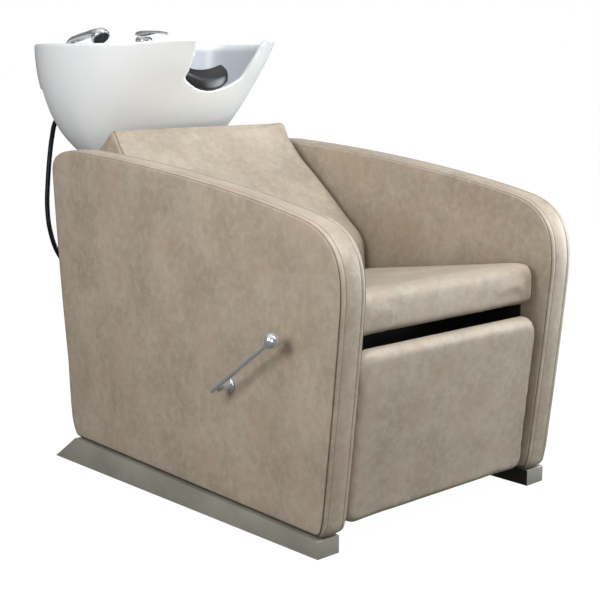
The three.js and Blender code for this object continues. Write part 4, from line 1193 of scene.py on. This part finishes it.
# How far each hard part's edges are broken, in millimetres.
SOFTENED = {
    "base_rail_left": 0.9, "base_rail_right": 0.9, "front_crossbar": 0.8, "rear_crossbar": 0.8,
    "rear_cover": 1.2, "basin_bracket": 0.8, "basin_carrier": 0.8, "basin_column_left": 1.2,
    "basin_column_right": 1.2, "legrest_board": 1.0, "seat_apron": 0.8,
}
for node_name, broken in SOFTENED.items():
    softened(node_name, width=broken)

for node_name, node in frame["nodes"].items():
    for place in node.material_slots:
        place.material = SLOT_LOOKS[SLOT_OF[node_name]]
    node.data.shade_smooth()
    node.data.set_sharp_from_angle(angle=math.radians(35))


# ---- studio

MIDDLE = (0, 450, 450)


def area_light(name, towards, distance, size, power, colour=(1.0, 1.0, 1.0), target=MIDDLE):
    """A square softbox, unseen by the camera, in the given direction from its target."""
    data = bpy.data.lights.new(name, "AREA")
    data.shape = "SQUARE"
    data.size = size
    data.energy = power
    data.color = colour
    light = bpy.data.objects.new(name, data)
    direction = Vector(towards).normalized()
    light.location = Vector(at(*target)) + direction * distance
    light.visible_camera = False
    light.rotation_mode = "QUATERNION"
    light.rotation_quaternion = direction.to_track_quat("Z", "Y")
    bpy.context.scene.collection.objects.link(light)


def build_world(around, overhead):
    """Dim grey all round, brightening to a slightly cool light straight overhead."""
    world = bpy.data.worlds.new("studio")
    world.use_nodes = True
    tree = world.node_tree
    place = tree.nodes.new("ShaderNodeTexCoord")
    split = tree.nodes.new("ShaderNodeSeparateXYZ")
    rise = tree.nodes.new("ShaderNodeMapRange")
    rise.inputs["From Min"].default_value, rise.inputs["From Max"].default_value = 0.5, 1.0
    rise.inputs["To Min"].default_value, rise.inputs["To Max"].default_value = around, overhead
    tree.links.new(place.outputs["Generated"], split.inputs[0])
    tree.links.new(split.outputs["Z"], rise.inputs["Value"])
    background = tree.nodes["Background"]
    background.inputs["Color"].default_value = (0.97, 0.98, 1.0, 1)
    tree.links.new(rise.outputs[0], background.inputs["Strength"])
    bpy.context.scene.world = world


def build_stage():
    """A pale floor, and a pale dome behind it that only the camera sees."""
    floor_look = Look("floor").finish(
        Base_Color=(0.04, 0.04, 0.04, 1), Roughness=0.9, Specular_IOR_Level=0.0,
        Emission_Color=(1, 1, 1, 1), Emission_Strength=0.985)
    floor_mesh = bpy.data.meshes.new("floor")
    reach = 60
    corners = [(-reach, -reach, 0), (reach, -reach, 0), (reach, reach, 0), (-reach, reach, 0)]
    floor_mesh.from_pydata(corners, [], [(0, 1, 2, 3)])
    floor_mesh.materials.append(floor_look)
    floor = bpy.data.objects.new("floor", floor_mesh)
    floor.visible_diffuse = floor.visible_glossy = False
    dome_look = Look("backdrop").finish(
        Base_Color=(0, 0, 0, 1), Specular_IOR_Level=0.0,
        Emission_Color=(1, 1, 1, 1), Emission_Strength=1.0)
    work = bmesh.new()
    bmesh.ops.create_uvsphere(work, u_segments=48, v_segments=24, radius=50)
    dome_mesh = bpy.data.meshes.new("backdrop")
    work.to_mesh(dome_mesh)
    work.free()
    dome_mesh.materials.append(dome_look)
    dome = bpy.data.objects.new("backdrop", dome_mesh)
    for ray in ("diffuse", "glossy", "transmission", "volume_scatter", "shadow"):
        setattr(dome, f"visible_{ray}", False)
    for stage in (floor, dome):
        bpy.context.scene.collection.objects.link(stage)


bpy.context.scene.view_settings.view_transform = "Standard"
build_stage()
build_world(0.12, 1.1)
area_light("softbox_left", (-0.915, -0.15, 0.38), 1.95, 0.75, 20)
area_light("softbox_front", (0.149, -0.686, 0.713), 2.2, 1.2, 44, (0.92, 0.96, 1.0))
area_light("fill_near", (-0.67, -0.72, 0.18), 3.4, 1.8, 23, (1.0, 0.96, 0.88))
area_light("fill_right", (0.88, -0.47, 0.12), 3.4, 1.8, 56, (0.86, 0.97, 1.0))
area_light("basin_fill", (0.75, -0.62, -0.15), 1.4, 0.6, 6, (0.96, 0.98, 1.0), (0, 800, 850))
